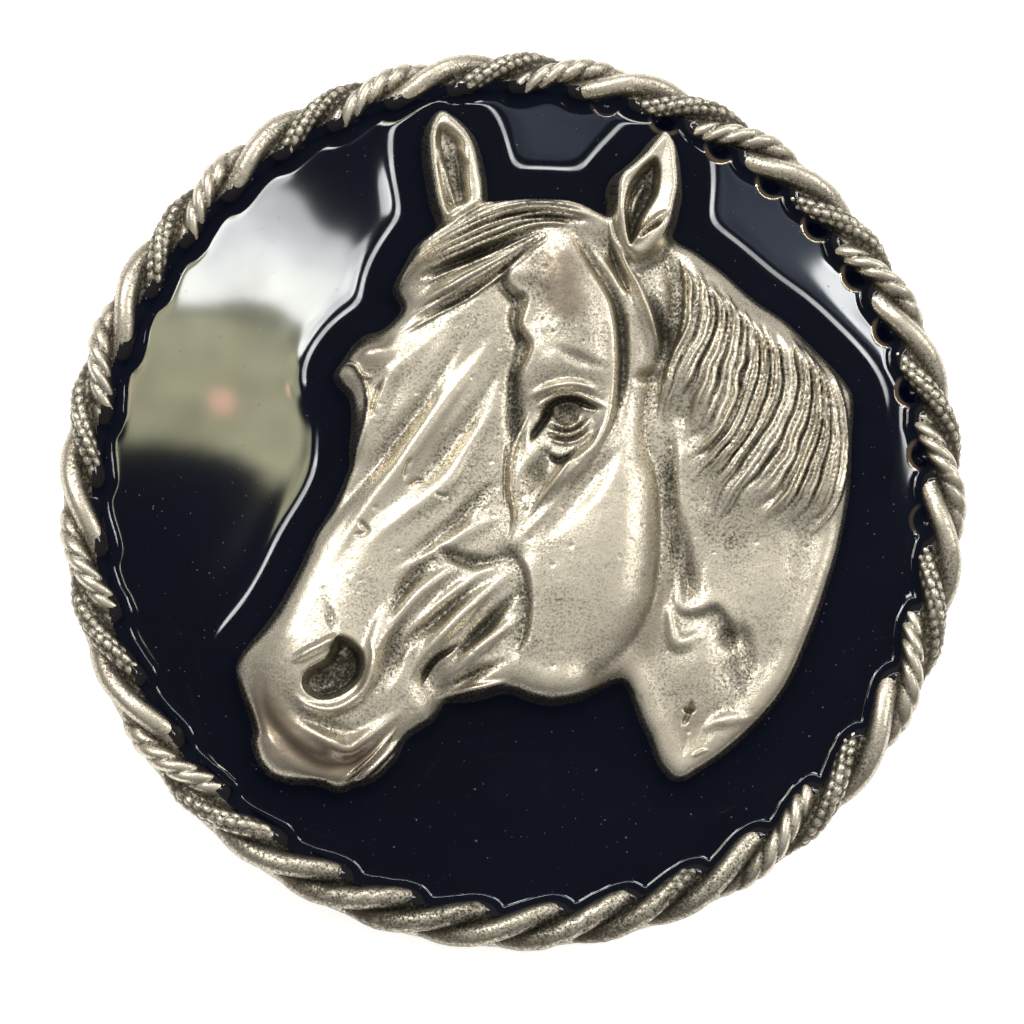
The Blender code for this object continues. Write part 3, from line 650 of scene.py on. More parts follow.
def face_plane(carving, inner):
    """Height of the face's broad form, and which places belong to the face."""
    jaw = JAW_EDGE + MUZZLE_EDGE[:1]
    muzzle = MUZZLE_EDGE + NOSE_EDGE[:1]
    nose = NOSE_EDGE + BROW_EDGE[:1]
    poll = BROW_EDGE + FAR_EAR_EDGE[:1] + POLL_EDGE
    edges = (
        (CHEEK_EDGE, CHEEK_ROUNDING, CHEEK_EDGE_SHARE, 0), (jaw, JAW_ROUNDING, 0, EDGE_SPREAD),
        (muzzle, MUZZLE_ROUNDING, 0, EDGE_SPREAD), (nose, NOSE_ROUNDING, 0, EDGE_SPREAD),
        (poll, POLL_ROUNDING, 0, EDGE_SPREAD))
    falls = np.ones(carving.height.shape)
    courses = []
    for points, rounding, least, spread in edges:
        course = smooth_course(points)
        courses.append(course)
        away = carving.measure(course, rounding + 5)[0]
        within = np.where(inner, away + spread, spread - away)
        falls = falls * np.maximum(round_over(within, rounding), least)
    past_skirt = SKIRT + 6
    skirt = carving.measure(np.vstack(courses[1:]), past_skirt)[0] < past_skirt
    return FACE_RISE * falls, carving.inside(np.vstack(courses)) | skirt & ~inner


def add_patches(carving):
    """Raises or sinks the patches, lumps, ledges and soft strokes."""
    for rise, width, points in PATCHES.values():
        plateau = slope_over(carving.depth(smooth_course(points, closed=True), width + 1), width)
        carving.height += rise * blurred(plateau, width / 4)
    for rise, middle, half_widths in LUMPS.values():
        carving.lump(rise, middle, half_widths)
    for rise, fade, course in LEDGES:
        carving.ledge(rise, fade, course)
    for group in SOFT_STROKES.values():
        for rise, half_width, course in group:
            carving.stroke(rise, half_width, course, taper=SOFT_STROKE_TAPER)
    carving.height = blurred(carving.height, SOFT_FORMS_BLUR)


def add_crisp_forms(carving):
    """Cuts the hollows and crisp strokes and sets the eyeball in."""
    for rise, width, points in HOLLOWS.values():
        within = carving.depth(smooth_course(points, closed=True), width + 1)
        carving.height += rise * slope_over(within, width)
    for group in CRISP_STROKES.values():
        for rise, half_width, course in group:
            carving.stroke(rise, half_width, course)
    u = (carving.grid_x - EYEBALL[0]) / EYEBALL_HALF_WIDTHS[0]
    v = (carving.grid_y - EYEBALL[1]) / EYEBALL_HALF_WIDTHS[1]
    carving.height += EYEBALL_RISE * np.sqrt(np.maximum(1 - u * u - v * v, 0))


def carve_head():
    """The head's heights above the field's floor and how deep each place lies inside its outline, in
    squares, which places are face, and how open the gaps in the hair are, from 0 upwards."""
    carving = blank_carving(*CARVING_CORNERS, CARVING_STEP)
    outline = smooth_course(HEAD_OUTLINE, closed=True)
    distance = carving.measure(outline, OUTLINE_REACH, closed=True)[0]
    inner = carving.inside(outline)
    depth = np.where(inner, distance, -distance) + EDGE_SPREAD
    face, front = face_plane(carving, inner)
    neck = NECK_RISE * round_over(depth, NECK_ROUNDING)
    neck += NECK_CROWN * slope_over(depth, NECK_CROWN_ROUNDING)
    hair, thick, gaps = combed(carving, *MANE)
    mane = (MANE_RISE - NECK_RISE) * blurred(thick, 7)
    ear_depth = carving.depth(smooth_course(NEAR_EAR, closed=True), 14)

    carving.height = np.where(front, face, neck + mane * slope_over(depth, MANE_ROUNDING))
    beside_cheek = carving.measure(smooth_course(CHEEK_EDGE), 14)[0]
    soft = 1 - slope_over(beside_cheek - 2, 12)
    carving.height += soft * (blurred(carving.height, CHEEK_EDGE_BLUR) - carving.height)
    near_ear = NEAR_EAR_RISE * round_over(ear_depth, NEAR_EAR_ROUNDING)
    carving.height = np.maximum(carving.height, near_ear)
    add_patches(carving)
    add_crisp_forms(carving)

    upper, _, upper_gaps = combed(carving, *FORELOCK)
    lower, _, lower_gaps = combed(carving, *LOWER_FORELOCK)
    on_face = front | (ear_depth > 0)
    forelock = (upper + lower) * (ear_depth == 0)
    forelock_gaps = (1.4 * upper_gaps + 0.7 * lower_gaps) * (ear_depth == 0)
    tress = np.where(on_face, forelock, hair * slope_over(depth, 9))
    gaps = np.where(on_face, forelock_gaps, gaps * slope_over(depth - 4, 8))
    carving.height += tress
    carving.height = blurred(carving.height, HAIR_BLUR)
    weather(carving, tress > 0.3)
    edge = round_over(depth, EDGE_ROUNDING)
    lifted = EDGE_LIFT * (1 - slope_over(depth, EDGE_LIFT_WIDTH))
    carving.height = OUTLINE_RISE + lifted + np.maximum(carving.height, 0) * edge
    carving.height -= WALL_STEEPNESS * np.maximum(-depth, 0)
    return carving, depth, front, gaps


def weather(carving, haired):
    """Cast grain, dents and pits over the whole head, milder on the hair."""
    rng = np.random.default_rng(11)
    shape = carving.height.shape
    bare = blurred(np.where(haired, HAIR_EVENNESS, 1), 3)
    rough = 0.5 + 0.5 * patchy(shape, ROUGH_PATCHES, rng)
    height, width = BROAD_UNEVENNESS
    carving.height += bare * height * patchy(shape, width, rng)
    for height, width in ROUGH_UNEVENNESS:
        carving.height += bare * rough * height * patchy(shape, width, rng)
    for _ in range(PITS):
        middle = rng.uniform(*PITTED_CORNERS)
        size = rng.uniform(*PIT_SIZES)
        part = carving.window(middle - 3 * size, middle + 3 * size)
        u = (carving.grid_x[part] - middle[0]) / size
        v = (carving.grid_y[part] - middle[1]) / (size * rng.uniform(0.6, 1))
        carving.height[part] -= bare[part] * rng.uniform(*PIT_DEPTHS) * np.exp(-(u * u + v * v))


# Meshes

SHARP_ANGLE = math.radians(75)


def add_object(name, vertices, faces):
    """A new object from corners and faces, shaded smooth but for its sharp edges."""
    mesh = bpy.data.meshes.new(name)
    mesh.from_pydata(vertices, [], faces)
    mesh.validate()
    mesh.shade_smooth()
    mesh.set_sharp_from_angle(angle=SHARP_ANGLE)
    obj = bpy.data.objects.new(name, mesh)
    bpy.context.scene.collection.objects.link(obj)
    return obj


def paint(obj, name, values):
    """Stores one number for each vertex, for the material to read."""
    layer = obj.data.attributes.new(name, "FLOAT", "POINT")
    layer.data.foreach_set("value", np.asarray(values, np.float32))


def without_corner_contacts(keep):
    """Adds cells where two kept ones would meet at a corner alone."""
    keep = keep.copy()
    while True:
        a, b = keep[:-1, :-1], keep[1:, 1:]
        c, d = keep[:-1, 1:], keep[1:, :-1]
        falling = a & b & ~c & ~d
        rising = c & d & ~a & ~b
        if not (falling.any() or rising.any()):
            return keep
        keep[:-1, 1:] |= falling
        keep[:-1, :-1] |= rising


def whole_cells(corner):
    """The cells whose four corners are all kept."""
    return corner[:-1, :-1] & corner[1:, :-1] & corner[:-1, 1:] & corner[1:, 1:]


def on_medallion(carving):
    """Where the carving's places lie on the medallion, in metres."""
    return (carving.grid_x - GRID_CENTRE[0]) * SQUARE, (GRID_CENTRE[1] - carving.grid_y) * SQUARE


def closed_sheet(name, carving, keep, level, bottom, marks):
    """A closed mesh with the kept cells of a carving on top, walls round them and a flat underside."""
    keep = without_corner_contacts(keep)
    rows, columns = keep.shape
    used = np.zeros((rows + 1, columns + 1), bool)
    for dr in (0, 1):
        for dc in (0, 1):
            used[dr:rows + dr, dc:columns + dc] |= keep
    index = np.full(used.shape, -1)
    index[used] = np.arange(used.sum())
    x, y = on_medallion(carving)
    z = level + carving.height * SQUARE
    top = np.column_stack([x[used], y[used], z[used]])

    nw, ne, sw, se = index[:-1, :-1], index[:-1, 1:], index[1:, :-1], index[1:, 1:]
    faces = np.column_stack([sw[keep], se[keep], ne[keep], nw[keep]]).tolist()
    wide = np.pad(keep, 1)
    sides = (
        (keep & ~wide[2:, 1:-1], sw, se), (keep & ~wide[1:-1, 2:], se, ne),
        (keep & ~wide[:-2, 1:-1], ne, nw), (keep & ~wide[1:-1, :-2], nw, sw))
    edges = np.vstack([np.column_stack([start[open_], end[open_]]) for open_, start, end in sides])
    rim = np.unique(edges)
    lower = np.full(len(top), -1)
    lower[rim] = len(top) + np.arange(len(rim))
    foot = top[rim].copy()
    foot[:, 2] = bottom
    a, b = edges.T
    faces += np.column_stack([b, a, lower[a], lower[b]]).tolist()
    on_rim = np.zeros(used.shape, bool)
    on_rim[used] = lower >= 0
    for row in range(rows):
        steps = np.flatnonzero(np.diff(np.concatenate([[0], keep[row].astype(int), [0]])))
        for west, east in zip(steps[::2], steps[1::2]):
            north = [index[row, c] for c in range(west, east + 1) if on_rim[row, c]]
            south = [index[row + 1, c] for c in range(east, west - 1, -1) if on_rim[row + 1, c]]
            faces.append([int(lower[i]) for i in north + south])
    obj = add_object(name, np.vstack([top, foot]), faces)
    for mark, values in marks.items():
        on_top = values[used]
        paint(obj, mark, np.concatenate([on_top, on_top[rim]]))
    return obj


# The rope border

ROPE_RINGS = 1500
ROPE_SIDES = 64
SIDES_BELOW = 8
SEEN_TURN = (math.radians(-62), math.radians(212))
ROPE_PITCH = 2 * math.pi * ROPE_CIRCLE_RADIUS / STRAND_PASSES
STRAND_CENTRE = 0.52

# Of every three strands one is beaded, the next is smooth and the last is plied
BEADED = 0
PLIED = 2
BEAD_PITCH = 0.76 * MM
BEAD_ROW = 0.68 * MM
BEAD_RISE = 0.2 * MM
BEAD_MIDDLE = 0.75
PLY_WIDTH = 1.1 * MM
PLY_TURN = 2.4 * MM
PLY_RISE = 0.26 * MM

# Part of the ring where beads and plies are worn nearly smooth, and the darker part round it, each
# with where it starts and ends and how fast it fades, in degrees from +X towards +Y, and its strength
WORN_ARC = (225, 300, 14)
WORN_SHARE = 0.8
DARK_ARC = (225, 315, 20)
DARK_SHARE = 0.3
ROPE_PATINA = 0.18
ROPE_DENTS = ((0.045 * MM, 16), (0.02 * MM, 5))


def rope_lay(angle, turn):
    """How many strands a place is past the first one, at an angle round the ring and a turn round
    the rope."""
    return (STRAND_PASSES * angle - ROPE_STRANDS * turn) / (2 * math.pi)


def bunched(angle):
    """Angle on the medallion: the strands are closer together on one side of it than on the other."""
    return angle + ROPE_START + ROPE_BUNCHING * np.cos(angle)


def within_arc(angle, start, end, fade):
    """1 on a part of the ring and 0 off it, for angles on the medallion."""
    place = np.degrees(angle) % 360
    return slope_over(place - start, fade) * slope_over(end - place, fade)


def rope_surface(angle, turn):
    """Radius of the rope at each place, in metres, and how dark with patina the place is, from 0 to 1."""
    lay = rope_lay(angle, turn)
    strand = np.floor(lay).astype(int)
    across = lay - strand - 0.5
    kind = strand % ROPE_STRANDS
    third = across * 2 * math.pi / ROPE_STRANDS
    strand_radius = 1 - STRAND_CENTRE
    chord = strand_radius ** 2 - (STRAND_CENTRE * np.sin(third)) ** 2
    round_strand = STRAND_CENTRE * np.cos(third) + np.sqrt(np.maximum(chord, 0))
    slope = math.atan2(ROPE_PITCH * ROPE_STRANDS / 4, math.pi / 2 * ROPE_RADIUS)
    length = angle * ROPE_CIRCLE_RADIUS * math.sin(slope) + turn * ROPE_RADIUS * math.cos(slope)
    width = across * ROPE_PITCH * math.cos(slope)

    wobble = 0.12 * np.sin(length / (0.9 * MM) + 2 * strand) + 0.1 * np.sin(width / (0.5 * MM) + strand)
    row = np.round(width / BEAD_ROW)
    bead_long = 0.5 + 0.5 * np.cos(2 * math.pi * (length / BEAD_PITCH + 0.5 * row + wobble))
    bead_wide = 0.5 + 0.5 * np.cos(2 * math.pi * width / BEAD_ROW)
    beads = np.sqrt(bead_long * bead_wide)
    plies = np.abs(np.sin(math.pi * (width / PLY_WIDTH + length / PLY_TURN)))
    crown = np.cos(math.pi * across)
    top = np.clip(np.sin(turn), 0, 1)
    flattened = 1 - 0.45 * top ** 3 * crown
    fade = slope_over(crown, 0.5) * (1 - WORN_SHARE * within_arc(bunched(angle), *WORN_ARC))
    fine = np.where(kind == BEADED, BEAD_RISE * (beads - BEAD_MIDDLE) * flattened, 0)
    fine = np.where(kind == PLIED, PLY_RISE * (plies ** 0.8 - BEAD_MIDDLE), fine)
    radius = ROPE_RADIUS * round_strand + fine * fade
    pattern = np.where(kind == BEADED, BEAD_MIDDLE - beads, np.where(kind == PLIED, 0.8 * (0.6 - plies), 0))
    dark = 1.25 * (1 - round_strand) + pattern * fade
    return radius, dark


def make_rope():
    """The rope as one closed ring, its hidden side made of fewer, broader faces."""
    angle = np.linspace(0, 2 * math.pi, ROPE_RINGS, endpoint=False)
    visible = np.linspace(*SEEN_TURN, ROPE_SIDES - SIDES_BELOW)
    hidden = np.linspace(SEEN_TURN[1], SEEN_TURN[0] + 2 * math.pi, SIDES_BELOW + 2)[1:-1]
    grid_angle, grid_turn = np.meshgrid(angle, np.concatenate([visible, hidden]), indexing="ij")
    radius, dark = rope_surface(grid_angle, grid_turn)
    rng = np.random.default_rng(23)
    dents = sum(height * patchy(radius.shape, width, rng) for height, width in ROPE_DENTS)
    to_seam = np.minimum(grid_angle, 2 * math.pi - grid_angle)
    radius += dents * np.clip(to_seam / 0.05, 0, 1)
    out = ROPE_CIRCLE_RADIUS + radius * np.cos(grid_turn)
    place = bunched(grid_angle)
    up = ROPE_AXIS_HEIGHT + radius * np.sin(grid_turn)
    points = np.stack([out * np.cos(place), out * np.sin(place), up], -1)
    i, j = np.meshgrid(np.arange(ROPE_RINGS), np.arange(ROPE_SIDES), indexing="ij")
    ni, nj = (i + 1) % ROPE_RINGS, (j + 1) % ROPE_SIDES
    corners = [a * ROPE_SIDES + b for a, b in ((i, j), (ni, j), (ni, nj), (i, nj))]
    faces = np.stack(corners, -1).reshape(-1, 4).tolist()
    obj = add_object("rope_border", points.reshape(-1, 3), faces)
    darker = DARK_SHARE * within_arc(place, *DARK_ARC)
    paint(obj, "patina_shade_and_highlight", np.clip(ROPE_PATINA + dark + darker, 0, 1).ravel())
    # Painted brown shade on the rope's outer side
    paint(obj, "brown_tint_and_shade", (0.5 * np.clip(np.cos(grid_turn) - 0.35, 0, 1)).ravel())
    return obj


# The plate

PLATE_SIDES = 720
PLATE_STEP = 0.8 * MM
FIELD_SLOPE = 0.4 * MM
PLATE_CAVITY = 0.42
PLATE_BROWN = 0.15


def make_plate():
    """Flat-backed plate with its side wall and the sunk field, turned from a profile."""
    inner = ROPE_CIRCLE_RADIUS
    profile = (
        (0, FIELD_FLOOR), (inner - FIELD_SLOPE, FIELD_FLOOR), (inner, RIM_HEIGHT),
        (PLATE_RADIUS - RIM_CHAMFER, RIM_HEIGHT), (PLATE_RADIUS, RIM_HEIGHT - RIM_CHAMFER),
        (PLATE_RADIUS + WALL_BULGE, RIM_HEIGHT / 2), (PLATE_RADIUS, RIM_CHAMFER),
        (PLATE_RADIUS - RIM_CHAMFER, 0), (0, 0))
    rings = []
    for (r0, z0), (r1, z1) in zip(profile, profile[1:]):
        steps = max(1, round(math.hypot(r1 - r0, z1 - z0) / PLATE_STEP))
        for k in range(steps):
            rings.append((r0 + (r1 - r0) * k / steps, z0 + (z1 - z0) * k / steps))
    rings = np.array(rings[1:])
    angle = np.linspace(0, 2 * math.pi, PLATE_SIDES, endpoint=False)
    r, z = rings.T
    points = np.stack([
        np.outer(np.cos(angle), r), np.outer(np.sin(angle), r), np.outer(np.ones(PLATE_SIDES), z)], -1)
    count = len(rings)
    above = PLATE_SIDES * count
    vertices = np.vstack([points.reshape(-1, 3), [(0, 0, FIELD_FLOOR), (0, 0, 0)]])
    faces = []
    for i in range(PLATE_SIDES):
        k = (i + 1) % PLATE_SIDES * count
        faces += [(i * count + j, i * count + j + 1, k + j + 1, k + j) for j in range(count - 1)]
        faces.append((above, i * count, k))
        faces.append((above + 1, k + count - 1, i * count + count - 1))
    obj = add_object("medal_plate", vertices, faces)
    paint(obj, "patina_shade_and_highlight", np.full(len(vertices), PLATE_CAVITY))
    paint(obj, "brown_tint_and_shade", np.full(len(vertices), PLATE_BROWN))
    return obj


# The enamel

ENAMEL_STEP = 1.86
POOL_REACH = 29.75 * MM
POOL_EDGE = 29.7 * MM

# How the resin climbs the head: height, distance over which that falls to about a third, and blur
# in cells
HEAD_MENISCUS = ((0.4 * MM, 0.35 * MM, 2), (0.6 * MM, 0.62 * MM, 9))

# How it climbs the rope: height and distance over which that falls to about a third, from
# ROPE_MENISCUS_RADIUS inwards. Where it meets the rope it stands up as a lip, more so on the left.
ROPE_MENISCUS = (0.2 * MM, 0.22 * MM)
ROPE_MENISCUS_RADIUS = 29 * MM
LIP_RISE = 0.3 * MM
LIP_BLUR = 0.3 * MM
SIDE_LIP_BLUR = 0.45 * MM
SIDE_LIP_SHARE = 0.7
FILM_SHARE = 0.35

# Half-round pockets in the grooves between the strands, deepest towards POCKETS_MIDDLE on the ring.
# Each lies where its groove has come POCKET_TURN round the rope.
POCKETS_MIDDLE = math.radians(36)
POCKET_TURN = math.radians(159)
POCKET_REACH = math.radians(7)
POCKET_CENTRE_RADIUS = 29.15 * MM
POCKET_RADIUS = 1.05 * MM
POCKET_DEPTH = 0.4 * MM


def rope_top(r, angle):
    """Height of the rope's upper side over each place on the medallion, and 0 where there is no rope."""
    ring_angle = angle - ROPE_START - ROPE_BUNCHING * np.cos(angle)
    out = r - ROPE_CIRCLE_RADIUS
    radius = np.full(r.shape, ROPE_RADIUS)
    for _ in range(6):
        turn = np.arccos(np.clip(out / radius, -1, 1))
        radius = 0.5 * radius + 0.5 * rope_surface(ring_angle, turn)[0]
    over = radius ** 2 - out ** 2
    return np.where(over > 0, ROPE_AXIS_HEIGHT + np.sqrt(np.maximum(over, 0)), 0)


def pockets(r, angle, film_and_reflection):
    """How much each place is part of a pocket, and the thin resin, with the pockets' rims in it as a painted
    tan reflection of the metal.
    """
    dry = np.zeros(r.shape)
    number = np.arange(STRAND_PASSES)
    ring_angle = (2 * math.pi * number + ROPE_STRANDS * POCKET_TURN) / STRAND_PASSES
    for pocket in bunched(ring_angle):
        turn = (angle - pocket + math.pi) % (2 * math.pi) - math.pi
        strength = slope_over(math.cos(pocket - POCKETS_MIDDLE) - 0.62, 0.25)
        near = np.abs(turn) < POCKET_REACH
        u = turn[near] * r[near] / POCKET_RADIUS
        v = (r[near] - POCKET_CENTRE_RADIUS) / POCKET_RADIUS
        from_middle = np.sqrt(u * u + v * v)
        dry[near] = np.maximum(dry[near], strength * slope_over(1.15 - from_middle, 1.0))
        # Painted tan reflection of the metal on the pocket's rim
        rim = np.exp(-((from_middle - 1.1) / 0.2) ** 2) * slope_over(-0.05 - v, 0.8)
        film_and_reflection[near] = np.maximum(film_and_reflection[near] * (1 - strength * (from_middle < 1)), strength * rim)
    return dry, film_and_reflection


def make_enamel():
    """Poured resin: a flat pool that climbs the metal at its edges, with pockets between the strands."""
    centre = np.array(GRID_CENTRE)
    reach = POOL_REACH / SQUARE
    carving = blank_carving(centre - reach, centre + reach, ENAMEL_STEP)
    x, y = on_medallion(carving)
    r, angle = np.hypot(x, y), np.arctan2(y, x)

    outline = smooth_course(HEAD_OUTLINE, closed=True)
    cell = ENAMEL_STEP * SQUARE
    away = carving.measure(outline, 30, closed=True)[0] * SQUARE
    away = np.where(carving.inside(outline), 0, away)
    head_rise = sum(blurred(rise * np.exp(-away / fall), blur) for rise, fall, blur in HEAD_MENISCUS)

    side = slope_over(0.2 - 0.5 * np.cos(angle + math.radians(20)), 0.5)
    rise, fall = ROPE_MENISCUS
    pool = ENAMEL_LEVEL + rise * side * np.exp(-np.clip(ROPE_MENISCUS_RADIUS - r, 0, None) / fall)
    wet = (rope_top(r, angle) > pool).astype(float)
    lip = blurred(wet, LIP_BLUR / cell)
    dry, film_and_reflection = pockets(r, angle, FILM_SHARE * slope_over(lip - 0.3, 0.3))
    lip = lip + SIDE_LIP_SHARE * side * blurred(wet, SIDE_LIP_BLUR / cell)
    z = pool + head_rise + LIP_RISE * lip * (1 - dry) - POCKET_DEPTH * dry
    carving.height = (z - ENAMEL_LEVEL) / SQUARE
    covered = carving.depth(outline, 18) > 14
    keep = whole_cells(~covered & (r < POOL_EDGE))
    marks = {"film_and_reflection": np.clip(film_and_reflection, 0, 1)}
    return closed_sheet("enamel_pool", carving, keep, ENAMEL_LEVEL, ENAMEL_BOX[0][2], marks)


# The head's pieces

METAL_PIECES = ("medal_plate", "rope_border", "head_nose", "head_cheek", "head_neck")
HEAD_ROOT_DEPTH = 0.6 * MM

# How dark the recesses are: strength and width in cells, for broad, middle and fine ones
RECESSES = ((0.03, 12), (0.05, 5), (0.11, 1.6))
RECESS_LIMIT = 0.42
PATINA_BASE = 0.31


def strokes_only(carving, strokes, sign=1):
    """The strokes alone, on a flat copy of the carving's grid."""
    shade = Carving(carving.x, carving.y)
    for strength, half_width, course in strokes:
        shade.stroke(sign * strength, half_width, course)
    return shade.height


def make_head(carving, depth, front, gaps):
    """Nose, cheek and neck, three closed pieces that meet in the grooves on both sides of the cheek."""
    height = carving.height
    hollow = sum(strength * (blurred(height, width) - height) for strength, width in RECESSES)
    hollow = RECESS_LIMIT * np.tanh(hollow / RECESS_LIMIT)
    # Painted shade and painted highlights go on top of the patina in the recesses
    shade = strokes_only(carving, PATINA_AND_SHADE_STROKES) + strokes_only(carving, PAINTED_HIGHLIGHT_STROKES, -1)
    near_edge = 0.2 * slope_over(7 - depth, 5)
    patina_shade_and_highlight = np.clip(PATINA_BASE + hollow + 0.8 * shade + near_edge + 0.4 * blurred(gaps, 0.7), 0, 1)
    marks = {"patina_shade_and_highlight": patina_shade_and_highlight, "brown_tint_and_shade": np.clip(strokes_only(carving, BROWN_SHADE_STROKES), 0, 1)}
    cells = whole_cells(depth > -SKIRT)
    face = front[:-1, :-1]
    nose_loop = smooth_course(NOSE_SIDE[:-2]).tolist() + list(NOSE_SIDE[-2:])
    nose = face & carving.inside(nose_loop)[:-1, :-1]
    bottom = FIELD_FLOOR - HEAD_ROOT_DEPTH
    parts = (("head_nose", nose), ("head_cheek", face & ~nose), ("head_neck", ~face))
    return [closed_sheet(name, carving, cells & part, FIELD_FLOOR, bottom, marks) for name, part in parts]


# Materials

# Colour of the painted brown shade
SHADE_BROWN = (0.2, 0.15, 0.105, 1)
# Tan of the thin resin over the metal, also painted as a reflection on the pockets' rims
THIN_RESIN_AND_REFLECTION = (0.17, 0.135, 0.085, 1)
DUST = (0.35, 0.36, 0.38, 1)
GRAIN_DEPTH = 0.03 * MM


class NodeSheet:
    """Adds shader nodes to a new material and joins them."""

    def __init__(self, name):
        self.material = bpy.data.materials.new(name)
        self.material.use_nodes = True
        self.tree = self.material.node_tree
        self.shader = self.tree.nodes["Principled BSDF"]

    def connect(self, socket, value):
        """Gives a socket a value, or joins another socket to it."""
        if isinstance(value, bpy.types.NodeSocket):
            self.tree.links.new(value, socket)
        else:
            socket.default_value = value

    def add(self, kind, settings, inputs, output=0):
        """Adds a node with its settings and inputs, and gives back one of its outputs."""
        node = self.tree.nodes.new("ShaderNode" + kind)
        for name, value in settings.items():
            setattr(node, name, value)
        for name, value in inputs.items():
            self.connect(node.inputs[name], value)
        return node.outputs[output]

    def mark(self, name):
        """One number a vertex, as painted on the mesh."""
        return self.add("Attribute", {"attribute_name": name}, {}, "Fac")

    def place(self):
        return self.add("TexCoord", {}, {}, "Object")

    def noise(self, place, scale, detail, roughness=0.55):
        inputs = {"Vector": place, "Scale": scale, "Detail": detail, "Roughness": roughness}
        return self.add("TexNoise", {}, inputs, "Fac")

    def sum(self, a, b):
        return self.add("Math", {"operation": "ADD"}, {0: a, 1: b})

    def product(self, a, b):
        return self.add("Math", {"operation": "MULTIPLY"}, {0: a, 1: b})

    def ramp(self, value, stops):
        """A colour for each value, from (position, colour) pairs."""
        node = self.tree.nodes.new("ShaderNodeValToRGB")
        elements = node.color_ramp.elements
        elements[0].position, elements[0].color = stops[0][0], (*stops[0][1], 1)
        elements[1].position, elements[1].color = stops[-1][0], (*stops[-1][1], 1)
        for position, colour in stops[1:-1]:
            elements.new(position).color = (*colour, 1)
        self.tree.links.new(value, node.inputs[0])
        return node.outputs["Color"]

    def spread(self, value, low, high, new_low, new_high):
        """The value carried over from one range to another, and held at its ends."""
        inputs = {"Value": value, "From Min": low, "From Max": high, "To Min": new_low, "To Max": new_high}
        return self.add("MapRange", {}, inputs)

    def mixed(self, share, a, b):
        """Colour a, with a share of colour b."""
        return self.add("MixRGB", {}, {"Fac": share, "Color1": a, "Color2": b})

    def finish(self, **inputs):
        """Joins the surface's inputs, such as base_color, and gives back the material."""
        for name, value in inputs.items():
            self.connect(self.shader.inputs[name.replace("_", " ").title().replace("Ior", "IOR")], value)
        return self.material


def antiqued_metal(look):
    """Bright white metal with dark olive patina in its recesses and painted shade and highlights, speckled
    by the cast grain.
    """
    sheet = NodeSheet("antiqued_metal")
    place = sheet.place()
    grain = sheet.noise(place, 9000, 2, 0.6)
    specks = sheet.noise(place, 5200, 3, 0.75)
    clouds = sheet.noise(place, 300, 4, 0.6)
    patina_shade_and_highlight = sheet.mark("patina_shade_and_highlight")
    # Painted brown shade, and the plate's even brown tint
    brown_tint_and_shade = sheet.product(sheet.mark("brown_tint_and_shade"), 0.85)
    rough = sheet.spread(brown_tint_and_shade, 0.1, 0.6, 1.0, 0.3)
    coarse = sheet.spread(specks, 0.36, 0.64, -0.38, 0.38)
    speckle = sheet.sum(coarse, sheet.spread(grain, 0.3, 0.7, -0.1, 0.1))
    share = sheet.product(rough, sheet.spread(patina_shade_and_highlight, 0.5, 0.9, 1.0, 0.55))
    uneven = sheet.sum(sheet.product(speckle, share), sheet.spread(clouds, 0.3, 0.7, -0.12, 0.12))
    # The patina, with the painted shade and highlights in it, and the speckle
    patina = sheet.sum(patina_shade_and_highlight, uneven)
    high, low = tuple(look.metal), tuple(look.patina)
    mid = tuple(0.6 * a + 0.4 * b for a, b in zip(high, low))
    dim = tuple(0.22 * a + 0.78 * b for a, b in zip(high, low))
    bright = tuple(min(1, 1.3 * a) for a in high)
    colour = sheet.ramp(patina, ((0.1, bright), (0.36, high), (0.6, mid), (0.82, dim), (1.0, low)))
    colour = sheet.mixed(brown_tint_and_shade, colour, SHADE_BROWN)
    dull = sheet.spread(patina, 0.15, 0.9, 0.28, 0.55)
    roughness = sheet.sum(dull, sheet.spread(specks, 0.3, 0.7, -0.08, 0.08))
    metallic = sheet.spread(patina, 0.62, 0.95, 1.0, 0.6)
    height = sheet.sum(sheet.product(grain, 0.5), specks)
    relief = {"Height": height, "Strength": sheet.product(rough, 0.7), "Distance": GRAIN_DEPTH}
    bump = sheet.add("Bump", {}, relief, "Normal")
    return sheet.finish(base_color=colour, roughness=roughness, metallic=metallic, normal=bump)


def navy_enamel(look):
    """Glossy resin, nearly black navy, tan where it thins out over the metal, with painted tan reflections
    on the pockets' rims.
    """
    sheet = NodeSheet("navy_enamel")
    place = sheet.place()
    film_and_reflection = sheet.mark("film_and_reflection")
    clouds = sheet.noise(place, 120, 3)
    deep = tuple(look.enamel)
    violet = (deep[0] * 4, deep[1] * 1.2, deep[2] * 1.5)
    colour = sheet.mixed(sheet.spread(clouds, 0.35, 0.7, 0, 0.8), (*deep, 1), (*violet, 1))
    colour = sheet.mixed(sheet.spread(film_and_reflection, 0.25, 0.9, 0, 0.8), colour, THIN_RESIN_AND_REFLECTION)
    dust = sheet.noise(place, 4200, 1, 0.4)
    dust = sheet.spread(dust, 0.775, 0.795, 0, 1)
    colour = sheet.mixed(sheet.product(dust, 0.5), colour, DUST)
    roughness = sheet.sum(0.035, sheet.product(dust, 0.3))
    metallic = sheet.spread(film_and_reflection, 0.4, 1, 0, 0.6)
    return sheet.finish(base_color=colour, roughness=roughness, metallic=metallic, specular_ior_level=0.09)


# The stage

